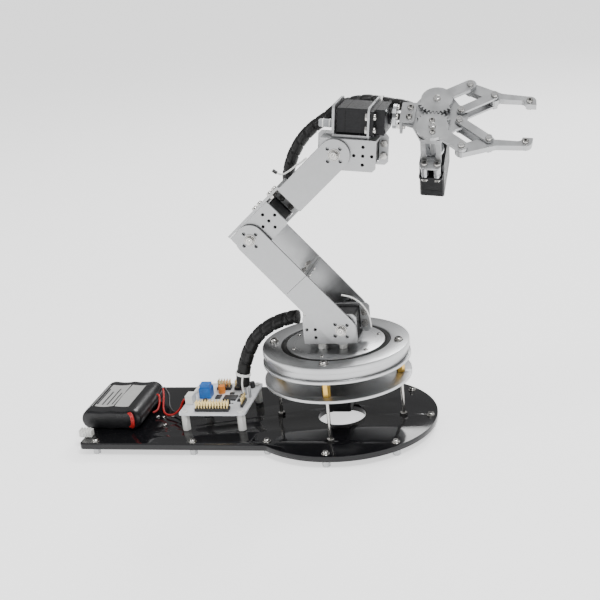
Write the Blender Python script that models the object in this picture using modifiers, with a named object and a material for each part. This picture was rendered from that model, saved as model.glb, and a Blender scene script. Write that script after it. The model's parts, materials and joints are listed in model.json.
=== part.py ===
"""Desktop robot arm: six hobby servos, folded aluminium brackets, a bearing turntable on an
acrylic base plate, and a geared two-finger claw.  Units are metres, +Z is up."""
import math

import bmesh
import bpy
from mathutils import Matrix, Vector

MM = 0.001
BOLT_SIDES = 6                # sides of a drawn bolt hole
SHANK = 1.3

# ---- driving dimensions, in millimetres --------------------------------------------------
MODEL_SHIFT_X = 27.37         # puts the middle of the whole object over the origin

FOOT_HEIGHT = 6.0
PLATE_THICK = 5.0
PLATE_TOP = FOOT_HEIGHT + PLATE_THICK
PLATE_RADIUS = 82.5
TAIL_HALF_WIDTH = 62.5
TAIL_END = -219.5
HUB_HOLE_RADIUS = 20.5
FOOT_BOLT_RADIUS = 76.8
TAIL_BOLTS = [(-206, -56.5), (-206, 56.5), (-118.5, -56.5), (-118.5, 56.5)]

COLUMN_RADIUS = 53.7
LOWER_DISC_Z = PLATE_TOP + 37.5     # underside of the lower turntable disc
DISC_THICK = 2.5
BRASS_LENGTH = 13.4
UPPER_DISC_Z = LOWER_DISC_Z + DISC_THICK + BRASS_LENGTH + 0.6
DISC_RADIUS = 63.0
RING_RADIUS = 62.5
RING_BORE = 46.5
ROTOR_RADIUS = 42.0
RING_TOP = PLATE_TOP + 68.5

SHOULDER_X, SHOULDER_Z = 11.3, PLATE_TOP + 87.8
LOWER_ARM_ANGLE = 131.0
LOWER_ARM_LENGTH = 105.0
FOREARM_ANGLE = 41.6
FOREARM_LENGTH = 100.5
FOREARM_U = 52.1              # wrist axis to the outer face of the forearm's web
WRIST_ANGLE = -6.6
CLAW_ROLL = 34.9

# folded brackets and standard servos
SHEET = 2.0
ARM_WIDTH = 25.0
U_INNER = 26.0                # half of the space between a U bracket's arms
BEARING_WALL = -25.0          # outer face of the servo bracket's bearing wall
SERVO_WALL = 6.0              # face of the servo bracket that the servo's ears rest on
SERVO_WIDTH, SERVO_LENGTH = 20.0, 40.5
SERVO_SHAFT_INSET = 10.1      # shaft axis from the nearer end of the case
EAR_DROP, EAR_THICK, EAR_LENGTH = 27.5, 2.5, 54.5
SERVO_HEIGHT = 37.8
SHAFT_HEIGHT = 7.9
EAR_HOLE_X = (-14.6, 34.9)
EAR_SPAN = sum(EAR_HOLE_X)    # how far the shaft moves when a servo is turned end for end
HORN_RADIUS = 10.0
SQUARE = 5.0                  # half spacing of the horn's four holes
CROSS = SQUARE * math.sqrt(2)  # the same four holes, set along and across an arm

# claw
CLAW_TOP = 3.6                # top of the claw base above the wrist roll axis
ROLL_Y, ROLL_B, ROLL_A = 13.0, 25.3, 21.0
ROLL_HORN_FACE = 22.3
GEAR_A, GEAR_S = 73.1, 15.27
TEETH = 30
CRANK_LENGTH, CRANK_ANGLE = 30.5, 36.4
LINK_A, LINK_S = 93.3, 5.42
JAW_LINK = (LINK_A - GEAR_A, LINK_S - GEAR_S)
CLAW_LEG = 26.6               # outer faces of the claw base's two bent legs
DRIVE_POST_RADIUS = 6.2       # the drive posts' distance from the gear's axis
CLAW_SERVO_EAR = -40.0        # underside of the claw servo's ears below the claw base's top

# ---- materials: colour, roughness, metallic ----------------------------------------------
FINISH = {
    "black_acrylic": ((0.012, 0.012, 0.014), 0.08, 0.0),
    "aluminium": ((0.62, 0.63, 0.64), 0.38, 1.0),
    "turned_aluminium": ((0.70, 0.71, 0.72), 0.25, 1.0),
    "steel": ((0.60, 0.60, 0.60), 0.28, 1.0),
    "black_plastic": ((0.018, 0.018, 0.02), 0.45, 0.0),
    "black_sleeve": ((0.02, 0.02, 0.022), 0.6, 0.0),
    "battery_wrap": ((0.02, 0.02, 0.022), 0.4, 0.0),
    "white_nylon": ((0.85, 0.85, 0.83), 0.5, 0.0),
    "board": ((0.86, 0.87, 0.88), 0.4, 0.0),
    "blue_plastic": ((0.01, 0.12, 0.45), 0.45, 0.0),
    "header": ((0.03, 0.03, 0.03), 0.5, 0.0),
    "red_wire": ((0.45, 0.01, 0.01), 0.45, 0.0),
    "black_wire": ((0.02, 0.02, 0.02), 0.45, 0.0),
}


def start_clean():
    for obj in list(bpy.data.objects):
        bpy.data.objects.remove(obj, do_unlink=True)


def material(name):
    mat = bpy.data.materials.get(name)
    if mat is None:
        colour, roughness, metallic = FINISH[name]
        mat = bpy.data.materials.new(name)
        mat.use_nodes = True
        shader = mat.node_tree.nodes["Principled BSDF"]
        shader.inputs["Base Color"].default_value = (*colour, 1.0)
        shader.inputs["Roughness"].default_value = roughness
        shader.inputs["Metallic"].default_value = metallic
    return mat


# ---- frames ------------------------------------------------------------------------------
def place(x, y, z):
    return Matrix.Translation(Vector((x, y, z)) * MM)


def pitch(degrees):
    """Turn local x from world +X up towards +Z; local y stays across the arm."""
    return Matrix.Rotation(-math.radians(degrees), 4, "Y")


WORLD = place(MODEL_SHIFT_X, 0, 0)
SHOULDER = WORLD @ place(SHOULDER_X, 0, SHOULDER_Z)
LOWER_ARM = SHOULDER @ pitch(LOWER_ARM_ANGLE)
ELBOW = LOWER_ARM @ place(LOWER_ARM_LENGTH, 0, 0)
FOREARM = ELBOW @ pitch(FOREARM_ANGLE - LOWER_ARM_ANGLE)
WRIST = FOREARM @ place(FOREARM_LENGTH, 0, 0) @ pitch(WRIST_ANGLE - FOREARM_ANGLE)
ROLL_SERVO = WRIST @ Matrix(((0, 1, 0, ROLL_A * MM), (-1, 0, 0, ROLL_Y * MM),
                             (0, 0, 1, ROLL_B * MM), (0, 0, 0, 1)))
ROLL_BRACKET = ROLL_SERVO @ place(EAR_SPAN, 0, 0) @ Matrix.Rotation(math.pi, 4, "Y")
ROLL_AXIS = WRIST @ place(0, ROLL_Y, ROLL_B) @ Matrix.Rotation(math.radians(CLAW_ROLL), 4, "X")
CLAW = ROLL_AXIS @ place(0, 0, CLAW_TOP)
SHOULDER_SERVO = SHOULDER @ Matrix.Rotation(math.pi, 4, "Y")
WRIST_IN_FOREARM = FOREARM @ place(FOREARM_LENGTH, 0, 0)
ROLL_HORN = ROLL_AXIS @ Matrix(((0, 1, 0, ROLL_A * MM), (-1, 0, 0, 0), (0, 0, 1, 0), (0, 0, 0, 1)))


# ---- mesh building -----------------------------------------------------------------------
def solid_from(bm):
    mesh = bpy.data.meshes.new("solid")
    bmesh.ops.recalc_face_normals(bm, faces=bm.faces)
    bm.to_mesh(mesh)
    bm.free()
    obj = bpy.data.objects.new("solid", mesh)
    bpy.context.scene.collection.objects.link(obj)
    return obj


def box(x, y, z):
    """A box between the low and high value of each pair."""
    bm = bmesh.new()
    bmesh.ops.create_cube(bm, size=1.0)
    for vert in bm.verts:
        for axis, (low, high) in enumerate((x, y, z)):
            vert.co[axis] = (low if vert.co[axis] < 0 else high) * MM
    return solid_from(bm)


def rod(axis, centre, low, high, radius, segments=16, tip_radius=None):
    """A cylinder or cone along x, y or z; centre gives the other two coordinates."""
    bm = bmesh.new()
    bmesh.ops.create_cone(bm, cap_ends=True, segments=segments, radius1=radius * MM,
                          radius2=(radius if tip_radius is None else tip_radius) * MM,
                          depth=(high - low) * MM)
    obj = solid_from(bm)
    middle = (low + high) / 2
    spin = {"x": Matrix.Rotation(math.pi / 2, 4, "Y"), "y": Matrix.Rotation(-math.pi / 2, 4, "X"),
            "z": Matrix.Identity(4)}[axis]
    spot = {"x": (middle, *centre), "y": (centre[0], middle, centre[1]),
            "z": (*centre, middle)}[axis]
    obj.data.transform(place(*spot) @ spin)
    return obj


def circle(cx, cy, radius, segments=16, start=0.0):
    return [(cx + radius * math.cos(start + 2 * math.pi * i / segments),
             cy + radius * math.sin(start + 2 * math.pi * i / segments)) for i in range(segments)]


def arc(cx, cy, radius, first, last, steps):
    """Points on a circle from one angle to another, in degrees."""
    angles = [math.radians(first + (last - first) * i / steps) for i in range(steps + 1)]
    return [(cx + radius * math.cos(t), cy + radius * math.sin(t)) for t in angles]


def rounded(x0, x1, y0, y1, radius, steps=1):
    return (arc(x1 - radius, y1 - radius, radius, 0, 90, steps)
            + arc(x0 + radius, y1 - radius, radius, 90, 180, steps)
            + arc(x0 + radius, y0 + radius, radius, 180, 270, steps)
            + arc(x1 - radius, y0 + radius, radius, 270, 360, steps))


def sheet(normal, outline, low, high, holes=()):
    """A flat plate with holes: outlines in the plane across `normal`, thick from low to high."""
    curve = bpy.data.curves.new("outline", "CURVE")
    curve.dimensions = "2D"
    curve.fill_mode = "BOTH"
    curve.extrude = (high - low) / 2 * MM
    for loop in (outline, *holes):
        spline = curve.splines.new("POLY")
        spline.points.add(len(loop) - 1)
        for point, (u, v) in zip(spline.points, loop):
            point.co = (u * MM, v * MM, 0, 1)
        spline.use_cyclic_u = True
    holder = bpy.data.objects.new("outline", curve)
    bpy.context.scene.collection.objects.link(holder)
    mesh = bpy.data.meshes.new_from_object(
        holder.evaluated_get(bpy.context.evaluated_depsgraph_get()))
    bpy.data.objects.remove(holder, do_unlink=True)
    bpy.data.curves.remove(curve)
    bm = bmesh.new()
    bm.from_mesh(mesh)
    bpy.data.meshes.remove(mesh)
    bmesh.ops.remove_doubles(bm, verts=bm.verts, dist=1e-6)
    obj = solid_from(bm)
    middle = (low + high) / 2 * MM
    turn = {"z": Matrix(((1, 0, 0, 0), (0, 1, 0, 0), (0, 0, 1, middle), (0, 0, 0, 1))),
            "y": Matrix(((1, 0, 0, 0), (0, 0, -1, middle), (0, 1, 0, 0), (0, 0, 0, 1))),
            "x": Matrix(((0, 0, 1, middle), (1, 0, 0, 0), (0, 1, 0, 0), (0, 0, 0, 1)))}[normal]
    obj.data.transform(turn)
    return obj


def combine(base, others, operation, solver="EXACT"):
    """Boolean the other solids onto the base one after another, then remove them."""
    for other in others:
        modifier = base.modifiers.new("cut", "BOOLEAN")
        modifier.operation = operation
        modifier.solver = solver
        modifier.object = other
    mesh = bpy.data.meshes.new_from_object(
        base.evaluated_get(bpy.context.evaluated_depsgraph_get()))
    base.modifiers.clear()
    base.data = mesh
    for other in others:
        bpy.data.objects.remove(other, do_unlink=True)
    bm = bmesh.new()
    bm.from_mesh(mesh)
    bmesh.ops.remove_doubles(bm, verts=bm.verts, dist=1e-6)
    bm.to_mesh(mesh)
    bm.free()
    return base


def moved(obj, matrix):
    obj.data.transform(matrix)
    if matrix.determinant() < 0:
        obj.data.flip_normals()
    return obj


def part(name, finish, solid, parent, frame=WORLD, smooth=False):
    """Name a solid as a sub-part, place it in a frame, and hang it on its body's empty."""
    mesh = solid.data
    mesh.materials.clear()
    mesh.materials.append(material(finish))
    mesh.polygons.foreach_set("use_smooth", [smooth] * len(mesh.polygons))
    if smooth:
        mesh.set_sharp_from_angle(angle=math.radians(35))
    mesh.name = solid.name = name
    for collection in list(solid.users_collection):
        collection.objects.unlink(solid)
    ARM.objects.link(solid)
    mesh.transform(frame)
    mesh.transform(parent.matrix_world.inverted())
    solid.parent = parent
    return solid


def pivot(name, frame, parent=None):
    """An empty on a joint's axis, which carries everything that turns with it."""
    empty = bpy.data.objects.new(name, None)
    empty.empty_display_size = 0.01
    ARM.objects.link(empty)
    if parent is not None:
        empty.parent = parent
    empty.matrix_world = frame
    bpy.context.view_layer.update()
    return empty


# ---- nuts and hole patterns --------------------------------------------------------------
def hexagon(axis, spot, low, high, across=5.5):
    """A solid hexagonal nut or post."""
    return rod(axis, spot, low, high, across / math.sqrt(3), 6)


def square_holes(cx, cy, half=SQUARE, radius=1.35):
    return [circle(cx + i * half, cy + j * half, radius, BOLT_SIDES)
            for i in (-1, 1) for j in (-1, 1)]


# ---- servos and brackets, in the frame of the servo's shaft ------------------------------
# local x: along the case, long end positive; local y: along the shaft, horn positive;
# local z: across the case.  y = SERVO_WALL is the underside of the ears.
def servo_solid():
    bottom = SERVO_WALL - EAR_DROP
    ear = SERVO_WALL + EAR_THICK
    top = bottom + SERVO_HEIGHT
    x0, x1 = -SERVO_SHAFT_INSET, SERVO_LENGTH - SERVO_SHAFT_INSET
    overhang = (EAR_LENGTH - SERVO_LENGTH) / 2
    half = SERVO_WIDTH / 2
    case = sheet("y", rounded(x0, x1, -half, half, 1.2), bottom, top)
    ears = sheet("y", rounded(x0 - overhang, x1 + overhang, -half + 0.4, half - 0.4, 1.0),
                 SERVO_WALL, ear, [circle(x, z, 2.2, BOLT_SIDES)
                                   for x in EAR_HOLE_X for z in (-SQUARE, SQUARE)])
    collar = rod("y", (0, 0), top - 1, top + 1.2, 6.5, 14)
    shaft = rod("y", (0, 0), top, top + SHAFT_HEIGHT, 2.9, 8)
    return combine(case, [ears, collar, shaft], "UNION")


def servo_bracket(pivot_pin=True):
    """The folded bracket round a servo: bearing wall with its pivot pin, floor, servo wall."""
    half = ARM_WIDTH / 2
    tuck = 0.05
    floor = sheet("z", rounded(-12.5 + tuck, 32.5 - tuck, BEARING_WALL + tuck,
                               SERVO_WALL - 0.3 - tuck, 0.4), half - SHEET, half - tuck,
                  [circle(x, y, 1.7, BOLT_SIDES) for x in (1, 19) for y in (-18, -2)])
    bearing = sheet("y", rounded(-12.5, 32.5, -half, half, 2.5), BEARING_WALL,
                    BEARING_WALL + SHEET,
                    ([] if pivot_pin else [circle(0, 0, 1.9, 8)])
                    + [circle(22.3, 0, 1.5, BOLT_SIDES)]
                    + [circle(22.3 + 7.07 * i, 7.07 * j, 1.5, BOLT_SIDES)
                       for i, j in ((1, 0), (0, 1), (-1, 0), (0, -1))])
    window = [(-10.7, -10.4), (31.0, -10.4), (31.0, 10.4), (-10.7, 10.4)]
    ears = sheet("y", rounded(-19, 38.5, -half, half, 2.5), SERVO_WALL - SHEET,
                 SERVO_WALL - 0.3, [window] + [circle(x, z, 1.8, BOLT_SIDES)
                                               for x in EAR_HOLE_X for z in (-SQUARE, SQUARE)])
    return combine(floor, [bearing, ears] + (pivot_bolt() if pivot_pin else []), "UNION",
                   "MANIFOLD")


def horn(face=U_INNER):
    """A round metal horn on the shaft's end, with four tapped holes, just inside `face`."""
    return sheet("y", circle(0, 0, HORN_RADIUS, 18), face - 3.1, face - 0.3,
                 [circle(0, 0, 3.4, 8)] + square_holes(0, 0))


def bearing():
    """The ball bearing in the arm opposite the horn."""
    return sheet("y", circle(0, 0, 4.0, 14), -U_INNER - SHEET - 1.1, -U_INNER + 0.2,
                 [circle(0, 0, 1.9, 8)])


def pivot_bolt():
    """The bolt from the bearing wall out through the arm's bearing, and its nut."""
    inside, outside = BEARING_WALL + SHEET, -U_INNER - SHEET - 1.4
    return [rod("y", (0, 0), inside - 1, inside + 1.2, 3.2, 10),
            rod("y", (0, 0), outside - 3.2, inside, SHANK, 6),
            hexagon("y", (0, 0), outside - 2.4, outside)]


def u_bracket(length):
    """A long U bracket: axis at x = 0, web's outer face at x = length."""
    half = ARM_WIDTH / 2
    outline = [(length, -half), (length, half)] + arc(0, 0, half, 90, 270, 12)
    outer = U_INNER + SHEET
    tuck = 0.05
    cross = [circle(x, z, 1.7, BOLT_SIDES) for x, z in ((CROSS, 0), (0, CROSS), (-CROSS, 0), (0, -CROSS))]
    near = sheet("y", outline, -outer, -U_INNER, [circle(0, 0, 4.4, 14)] + cross)
    far = sheet("y", outline, U_INNER, outer, [circle(0, 0, 3.4, 8)] + cross)
    web = sheet("x", rounded(-outer + tuck, outer - tuck, -half + tuck, half - tuck, 0.3),
                length - SHEET, length - tuck,
                [circle(0, 0, 4.0, 8), circle(-16, 0, 3.0, 6), circle(16, 0, 3.0, 6)]
                + [circle(y, z, 1.7, BOLT_SIDES) for y in (-9, 9) for z in (-7, 7)])
    return combine(near, [far, web], "UNION", "MANIFOLD")


# ---- the fixed base ----------------------------------------------------------------------
def foot_spots():
    ring = [(FOOT_BOLT_RADIUS * math.cos(math.radians(t)), FOOT_BOLT_RADIUS * math.sin(math.radians(t)))
            for t in range(-135, 136, 45)]
    return ring + TAIL_BOLTS


def column_spots():
    return [(COLUMN_RADIUS * math.cos(t), COLUMN_RADIUS * math.sin(t))
            for t in (0, math.pi / 2, math.pi, -math.pi / 2)]


BOARD_STANDOFFS = [(-131.0, -32.0), (-81.2, -32.0), (-131.0, 27.2), (-81.2, 27.2)]


def base_plate():
    """The acrylic disc and tail, with the hub's hole and a short hexagonal foot at each corner."""
    join = math.degrees(math.asin(TAIL_HALF_WIDTH / PLATE_RADIUS))
    disc = arc(0, 0, PLATE_RADIUS, -180 + join, 180 - join, 52)
    corner = 4.0
    tail = (arc(TAIL_END + corner, TAIL_HALF_WIDTH - corner, corner, 90, 180, 4)
            + arc(TAIL_END + corner, -TAIL_HALF_WIDTH + corner, corner, 180, 270, 4))
    holes = [circle(0, 0, HUB_HOLE_RADIUS, 24)]
    holes += [circle(x, y, 1.9, BOLT_SIDES) for x, y in column_spots()]
    plate = sheet("z", disc + tail, FOOT_HEIGHT, PLATE_TOP, holes)
    feet = [rod("z", spot, 0, FOOT_HEIGHT + 1, 3.4, 6) for spot in foot_spots()]
    return combine(plate, feet, "UNION")


def column_post(spot):
    """One of the four columns: a long screw through plate, discs and ring, with its nuts and
    the brass hexagon between the two discs."""
    between = LOWER_DISC_Z + DISC_THICK + 0.3
    post = rod("z", spot, FOOT_HEIGHT - 3.0, RING_TOP + 1.0, SHANK, 6)
    stack = [hexagon("z", spot, FOOT_HEIGHT - 2.8, FOOT_HEIGHT - 0.4),
             hexagon("z", spot, PLATE_TOP + 0.3, PLATE_TOP + 2.7),
             hexagon("z", spot, between, between + BRASS_LENGTH, across=5.8),
             rod("z", spot, RING_TOP + 0.3, RING_TOP + 2.7, 3.3, 10)]
    return combine(post, stack, "UNION")


def turntable_disc_plate(low, centre_holes):
    holes = centre_holes + [circle(x, y, 1.9, BOLT_SIDES) for x, y in column_spots()]
    return sheet("z", circle(0, 0, DISC_RADIUS, 56), low, low + DISC_THICK, holes)


def bearing_ring():
    """The thick turned outer ring: a chamfered rim over a step, standing on the upper disc."""
    low, groove, high = UPPER_DISC_Z + DISC_THICK + 0.3, PLATE_TOP + 62.2, RING_TOP
    profile = [(RING_BORE, high), (RING_RADIUS - 0.9, high), (RING_RADIUS, high - 0.9),
               (RING_RADIUS, groove), (RING_RADIUS - 2.0, groove), (RING_RADIUS - 2.0, low),
               (RING_BORE, low)]
    body = spun(profile, 48)
    return combine(body, [rod("z", spot, low - 1, high + 1, 1.9, BOLT_SIDES)
                          for spot in column_spots()], "DIFFERENCE", "MANIFOLD")


def bearing_cage():
    """The black cage that fills the gap between the rotor and the bearing ring."""
    return sheet("z", circle(0, 0, RING_BORE - 0.6, 40), RING_TOP - 5.0, RING_TOP - 1.4,
                 [circle(0, 0, ROTOR_RADIUS + 0.5, 40)])


def spun(profile, segments):
    """A closed profile of (radius, z) points turned round the z axis by a Screw modifier."""
    count = len(profile)
    mesh = bpy.data.meshes.new("profile")
    mesh.from_pydata([(r * MM, 0, z * MM) for r, z in profile],
                     [(i, (i + 1) % count) for i in range(count)], [])
    holder = bpy.data.objects.new("profile", mesh)
    bpy.context.scene.collection.objects.link(holder)
    turn = holder.modifiers.new("turn", "SCREW")
    turn.axis = "Z"
    turn.steps = turn.render_steps = segments
    turn.use_merge_vertices = True
    turn.merge_threshold = 1e-6
    turned = bpy.data.meshes.new_from_object(
        holder.evaluated_get(bpy.context.evaluated_depsgraph_get()))
    bpy.data.objects.remove(holder, do_unlink=True)
    bm = bmesh.new()
    bm.from_mesh(turned)
    bmesh.ops.remove_doubles(bm, verts=bm.verts, dist=1e-6)
    return solid_from(bm)


def upright(x, y, z):
    """Frame of a servo whose shaft points up, with its short end towards -y."""
    return Matrix(((0, 0, 1, x * MM), (1, 0, 0, y * MM), (0, 1, 0, z * MM), (0, 0, 0, 1)))


def servo_window():
    """The cut-out in the lower disc that the base servo's case comes up through."""
    low, high = -SERVO_SHAFT_INSET - 0.6, SERVO_LENGTH - SERVO_SHAFT_INSET + 0.6
    half = SERVO_WIDTH / 2 + 0.6
    return [(-half, low), (half, low), (half, high), (-half, high)]


def balance_connector():
    """The ribbed balance connector that lies beside the pack."""
    z = PLATE_TOP + 0.3
    body = box((-223.0, -212.5), (-49.5, -43.0), (z, z + 5.6))
    ribs = [box((-223.6 + 2.6 * k, -222.6 + 2.6 * k), (-50.0, -42.5), (z + 0.6, z + 6.2))
            for k in range(4)]
    return combine(body, ribs, "UNION")


def power_socket():
    """The white two-way socket on the board, open towards the leads."""
    low = BOARD_TOP + 0.3
    shell = box((-135.0, -128.5), (-16.5, -5.5), (low, low + 7.5))
    return combine(shell, [box((-136.0, -129.7), (-15.3, -6.7), (low + 1.2, low + 6.3))],
                   "DIFFERENCE")


def battery_pack():
    """Three round cells side by side under one shrink wrap."""
    x0, width, y0, y1 = -227.0, 55.5, -34.0, 34.0
    cell = width / 3
    radius = cell / 2
    outline = arc(x0 + width - radius, radius, radius, -90, 90, 8)
    outline += arc(x0 + radius, radius, radius, 90, 270, 8)
    pack = sheet("y", outline, y0, y1)
    grooves = [sheet("y", circle(x0 + cell * k, height, 2.2, 10), y0 - 1, y1 + 1)
               for k in (1, 2) for height in (2 * radius + 1.3, -1.3)]
    return moved(combine(pack, grooves, "DIFFERENCE"), place(0, 0, PLATE_TOP + 0.3))


BOARD_LOW = PLATE_TOP + 15.0
BOARD_TOP = BOARD_LOW + 1.6


def board():
    """The control board with its four nylon posts, whose screw heads stand above it."""
    plate = sheet("z", rounded(-136, -76.5, -36.5, 32, 3, 2), BOARD_LOW, BOARD_TOP)
    posts = [rod("z", spot, PLATE_TOP + 0.3, BOARD_LOW + 0.8, 3.2, 8) for spot in BOARD_STANDOFFS]
    heads = [rod("z", spot, BOARD_TOP - 0.8, BOARD_TOP + 1.6, 2.7, 8) for spot in BOARD_STANDOFFS]
    return combine(plate, posts + heads, "UNION")


# pin headers: (x, y) of the first pin, pins along x, rows along y
HEADER_BLOCKS = [((-121.0, -31.0), 12, 3), ((-114.0, 16.0), 5, 3), ((-98.0, 16.0), 4, 3),
                 ((-82.5, -22.0), 1, 6)]
PIN_PITCH = 2.54


def pin_header(x, y, columns, rows):
    """A header's plastic block, with its pins drawn as one strip for each row."""
    x1, y1 = x + PIN_PITCH * (columns - 1), y + PIN_PITCH * (rows - 1)
    block = box((x - 1.27, x1 + 1.27), (y - 1.27, y1 + 1.27), (BOARD_TOP + 0.3, BOARD_TOP + 2.8))
    strips = [box((x - 0.32, x1 + 0.32), (y + PIN_PITCH * j - 0.32, y + PIN_PITCH * j + 0.32),
                  (BOARD_TOP + 1.5, BOARD_TOP + 9.0)) for j in range(rows)]
    return combine(block, strips, "UNION")


def terminal_block():
    low = BOARD_TOP + 0.3
    body = box((-126.0, -115.5), (-4.0, 6.5), (low, low + 9.0))
    top = box((-125.2, -116.3), (-2.8, 5.3), (low + 8.0, low + 12.5))
    return combine(body, [top], "UNION")


# ---- the turning base --------------------------------------------------------------------
SPACER_SPOTS = [(x, y) for x in (1, 19) for y in (-18, -2)]


def rotor():
    """The inner bearing disc with its hub down to the base servo's horn."""
    top = RING_TOP + 0.2
    holes = [rod("z", (SHOULDER_X - x, y), top - 7, top + 1, 1.9, BOLT_SIDES)
             for x, y in SPACER_SPOTS]
    disc = rod("z", (0, 0), top - 5.2, top, ROTOR_RADIUS, 48)
    hub = rod("z", (0, 0), LOWER_DISC_Z + 17.5, top - 3, 16.0, 16)
    return combine(combine(disc, [hub], "UNION"), holes, "DIFFERENCE")


def bracket_spacer(x, y):
    """A nylon hexagon that holds the shoulder bracket above the inner disc, on its stud."""
    spot = (SHOULDER_X - x, y)
    floor = SHOULDER_Z - ARM_WIDTH / 2
    stud = rod("z", spot, RING_TOP - 4, floor + SHEET - 0.1, SHANK, 6)
    return combine(stud, [hexagon("z", spot, RING_TOP + 0.5, floor - 0.3, across=6.2)], "UNION")


# ---- elbow fittings, in the forearm's frame ----------------------------------------------
def elbow_angle():
    """The L plate that ties the elbow servo's bracket to the forearm's web."""
    low = ARM_WIDTH / 2 + 0.3
    web = FOREARM_LENGTH - FOREARM_U
    tuck = 0.05
    leg = sheet("z", rounded(-13.5, web - 0.3 - tuck, -24.5 + tuck, 5.5 - tuck, 1.5), low,
                low + SHEET - tuck,
                [circle(x, y, 1.7, BOLT_SIDES) for x in (19, 37) for y in (-18, -2)])
    foot = sheet("x", rounded(-24.5, 5.5, -12.5, low + SHEET, 1.5), web - 0.3 - SHEET,
                 web - 0.3, [circle(-9, z, 1.7, BOLT_SIDES) for z in (-7, 7)])
    return combine(leg, [foot], "UNION", "MANIFOLD")


# ---- the claw, in its own frame: x along, y across, z out of the claw base's top ----------
def mirrored(points):
    return [(x, -y) for x, y in reversed(points)]


def claw_plate_outline():
    side = [(98.0, 9.5), (91.0, 13.5), (85.5, 21.0), (81.5, CLAW_LEG), (64.5, CLAW_LEG),
            (57.0, 13.0), (48.8, 10.8)]
    return [(98.0 + 1.5, 0)] + side + [(x, -y) for x, y in reversed(side)]


def claw_base():
    """The claw's bent base: a top plate, and two windowed legs whose feet carry four posts."""
    holes = [circle(GEAR_A, -GEAR_S, 9.2, 24), circle(GEAR_A, GEAR_S, 1.9, BOLT_SIDES)]
    holes += [circle(LINK_A, s, 1.9, BOLT_SIDES) for s in (-LINK_S, LINK_S)]
    holes += [circle(53.5, s, 1.9, BOLT_SIDES) for s in (-SQUARE, SQUARE)]
    plate = sheet("z", claw_plate_outline(), -SHEET, 0, holes)
    tuck = 0.05
    window = [(69.0, -21.5), (76.9, -21.5), (76.9, -4.5), (69.0, -4.5)]
    solids = []
    for side, ear, foot_edge in ((-1, EAR_HOLE_X[0] - GEAR_S, 34.5), (1, EAR_HOLE_X[1] - GEAR_S, 15.6)):
        low, high = sorted((side * (CLAW_LEG - SHEET), side * (CLAW_LEG - tuck)))
        solids.append(sheet("y", rounded(64.8, 81.1, -26.0, -0.5, 0.3), low, high, [window]))
        bend = CLAW_LEG - SHEET + tuck if foot_edge > CLAW_LEG else CLAW_LEG - 2 * tuck
        low, high = sorted((side * bend, side * foot_edge))
        solids.append(sheet("z", rounded(64.8 + tuck, 81.1 - tuck, low, high, 1.2), -26.0 + tuck,
                            -24.0))
        solids += [rod("z", (GEAR_A + d, ear), CLAW_SERVO_EAR + EAR_THICK + 0.3, -25.0, 2.9, 8)
                   for d in (-SQUARE, SQUARE)]
    return combine(plate, solids, "UNION", "MANIFOLD")


def claw_ear_spots():
    return [(GEAR_A + d, -GEAR_S + x) for x in EAR_HOLE_X for d in (-SQUARE, SQUARE)]


def claw_hub():
    """The L plate that ties the roll servo's horn to the claw base."""
    tuck = 0.05
    top = sheet("z", rounded(46.3 + tuck, 58.0, -10.8 + tuck, 10.8 - tuck, 1.0), 0.3, 2.3,
                [circle(53.5, s, 1.9, BOLT_SIDES) for s in (-SQUARE, SQUARE)])
    face = sheet("x", rounded(-10.8, 10.8, -12.2, 2.3 - tuck, 0.8), 46.3, 48.3,
                 [circle(0, -CLAW_TOP, 3.0, 12)]
                 + [circle(y, -CLAW_TOP - SQUARE, 1.8, BOLT_SIDES) for y in (-SQUARE, SQUARE)])
    return combine(top, [face], "UNION", "MANIFOLD")


def crank_outline(offset_teeth):
    """A crank arm on a toothed sector: crank along +x, teeth on the -y side and behind."""
    half, plain = 5.0, 12.7
    lean = math.degrees(math.asin(half / plain))
    outline = arc(CRANK_LENGTH, 0, half, 90, -90, 8)
    outline += arc(0, 0, plain, -lean, -72, 3)
    step = 360 / TEETH
    root, tip = GEAR_S - 1.35, GEAR_S + 0.8
    mesh_angle = -90 - CRANK_ANGLE
    first = mesh_angle - 5 * step + (step / 2 if offset_teeth else 0)
    for k in reversed(range(10)):
        centre = first + k * step
        for radius, turn in ((root, 0.34), (tip, 0.13), (tip, -0.13), (root, -0.34)):
            t = math.radians(centre + turn * step)
            outline.append((radius * math.cos(t), radius * math.sin(t)))
    outline += arc(0, 0, plain, -196, -360 + lean, 9)
    return outline


def upper_crank():
    """The driven crank with the pin that it turns on."""
    plate = sheet("z", crank_outline(False), 0.8, 3.8, [circle(CRANK_LENGTH, 0, 1.9, BOLT_SIDES)])
    pin = [rod("z", (0, 0), -5.0, 1.8, SHANK, 6), hexagon("z", (0, 0), -4.7, -2.4),
           rod("z", (0, 0), 2.8, 5.6, 2.9, 8)]
    return combine(plate, pin, "UNION")


def lower_crank():
    """The driving crank with the two posts that stand on the claw servo's horn."""
    plate = sheet("z", crank_outline(True), 0.8, 3.8, [circle(CRANK_LENGTH, 0, 1.9, BOLT_SIDES)])
    lean, solids = math.radians(45), [rod("z", (0, 0), 2.8, 5.6, 2.9, 8)]
    for t in (0, math.pi):
        spot = (DRIVE_POST_RADIUS * math.cos(lean + t), DRIVE_POST_RADIUS * math.sin(lean + t))
        solids.append(rod("z", spot, CLAW_SERVO_EAR - SERVO_WALL + U_INNER, 1.6, 2.4, 8))
    return combine(plate, solids, "UNION")


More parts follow.
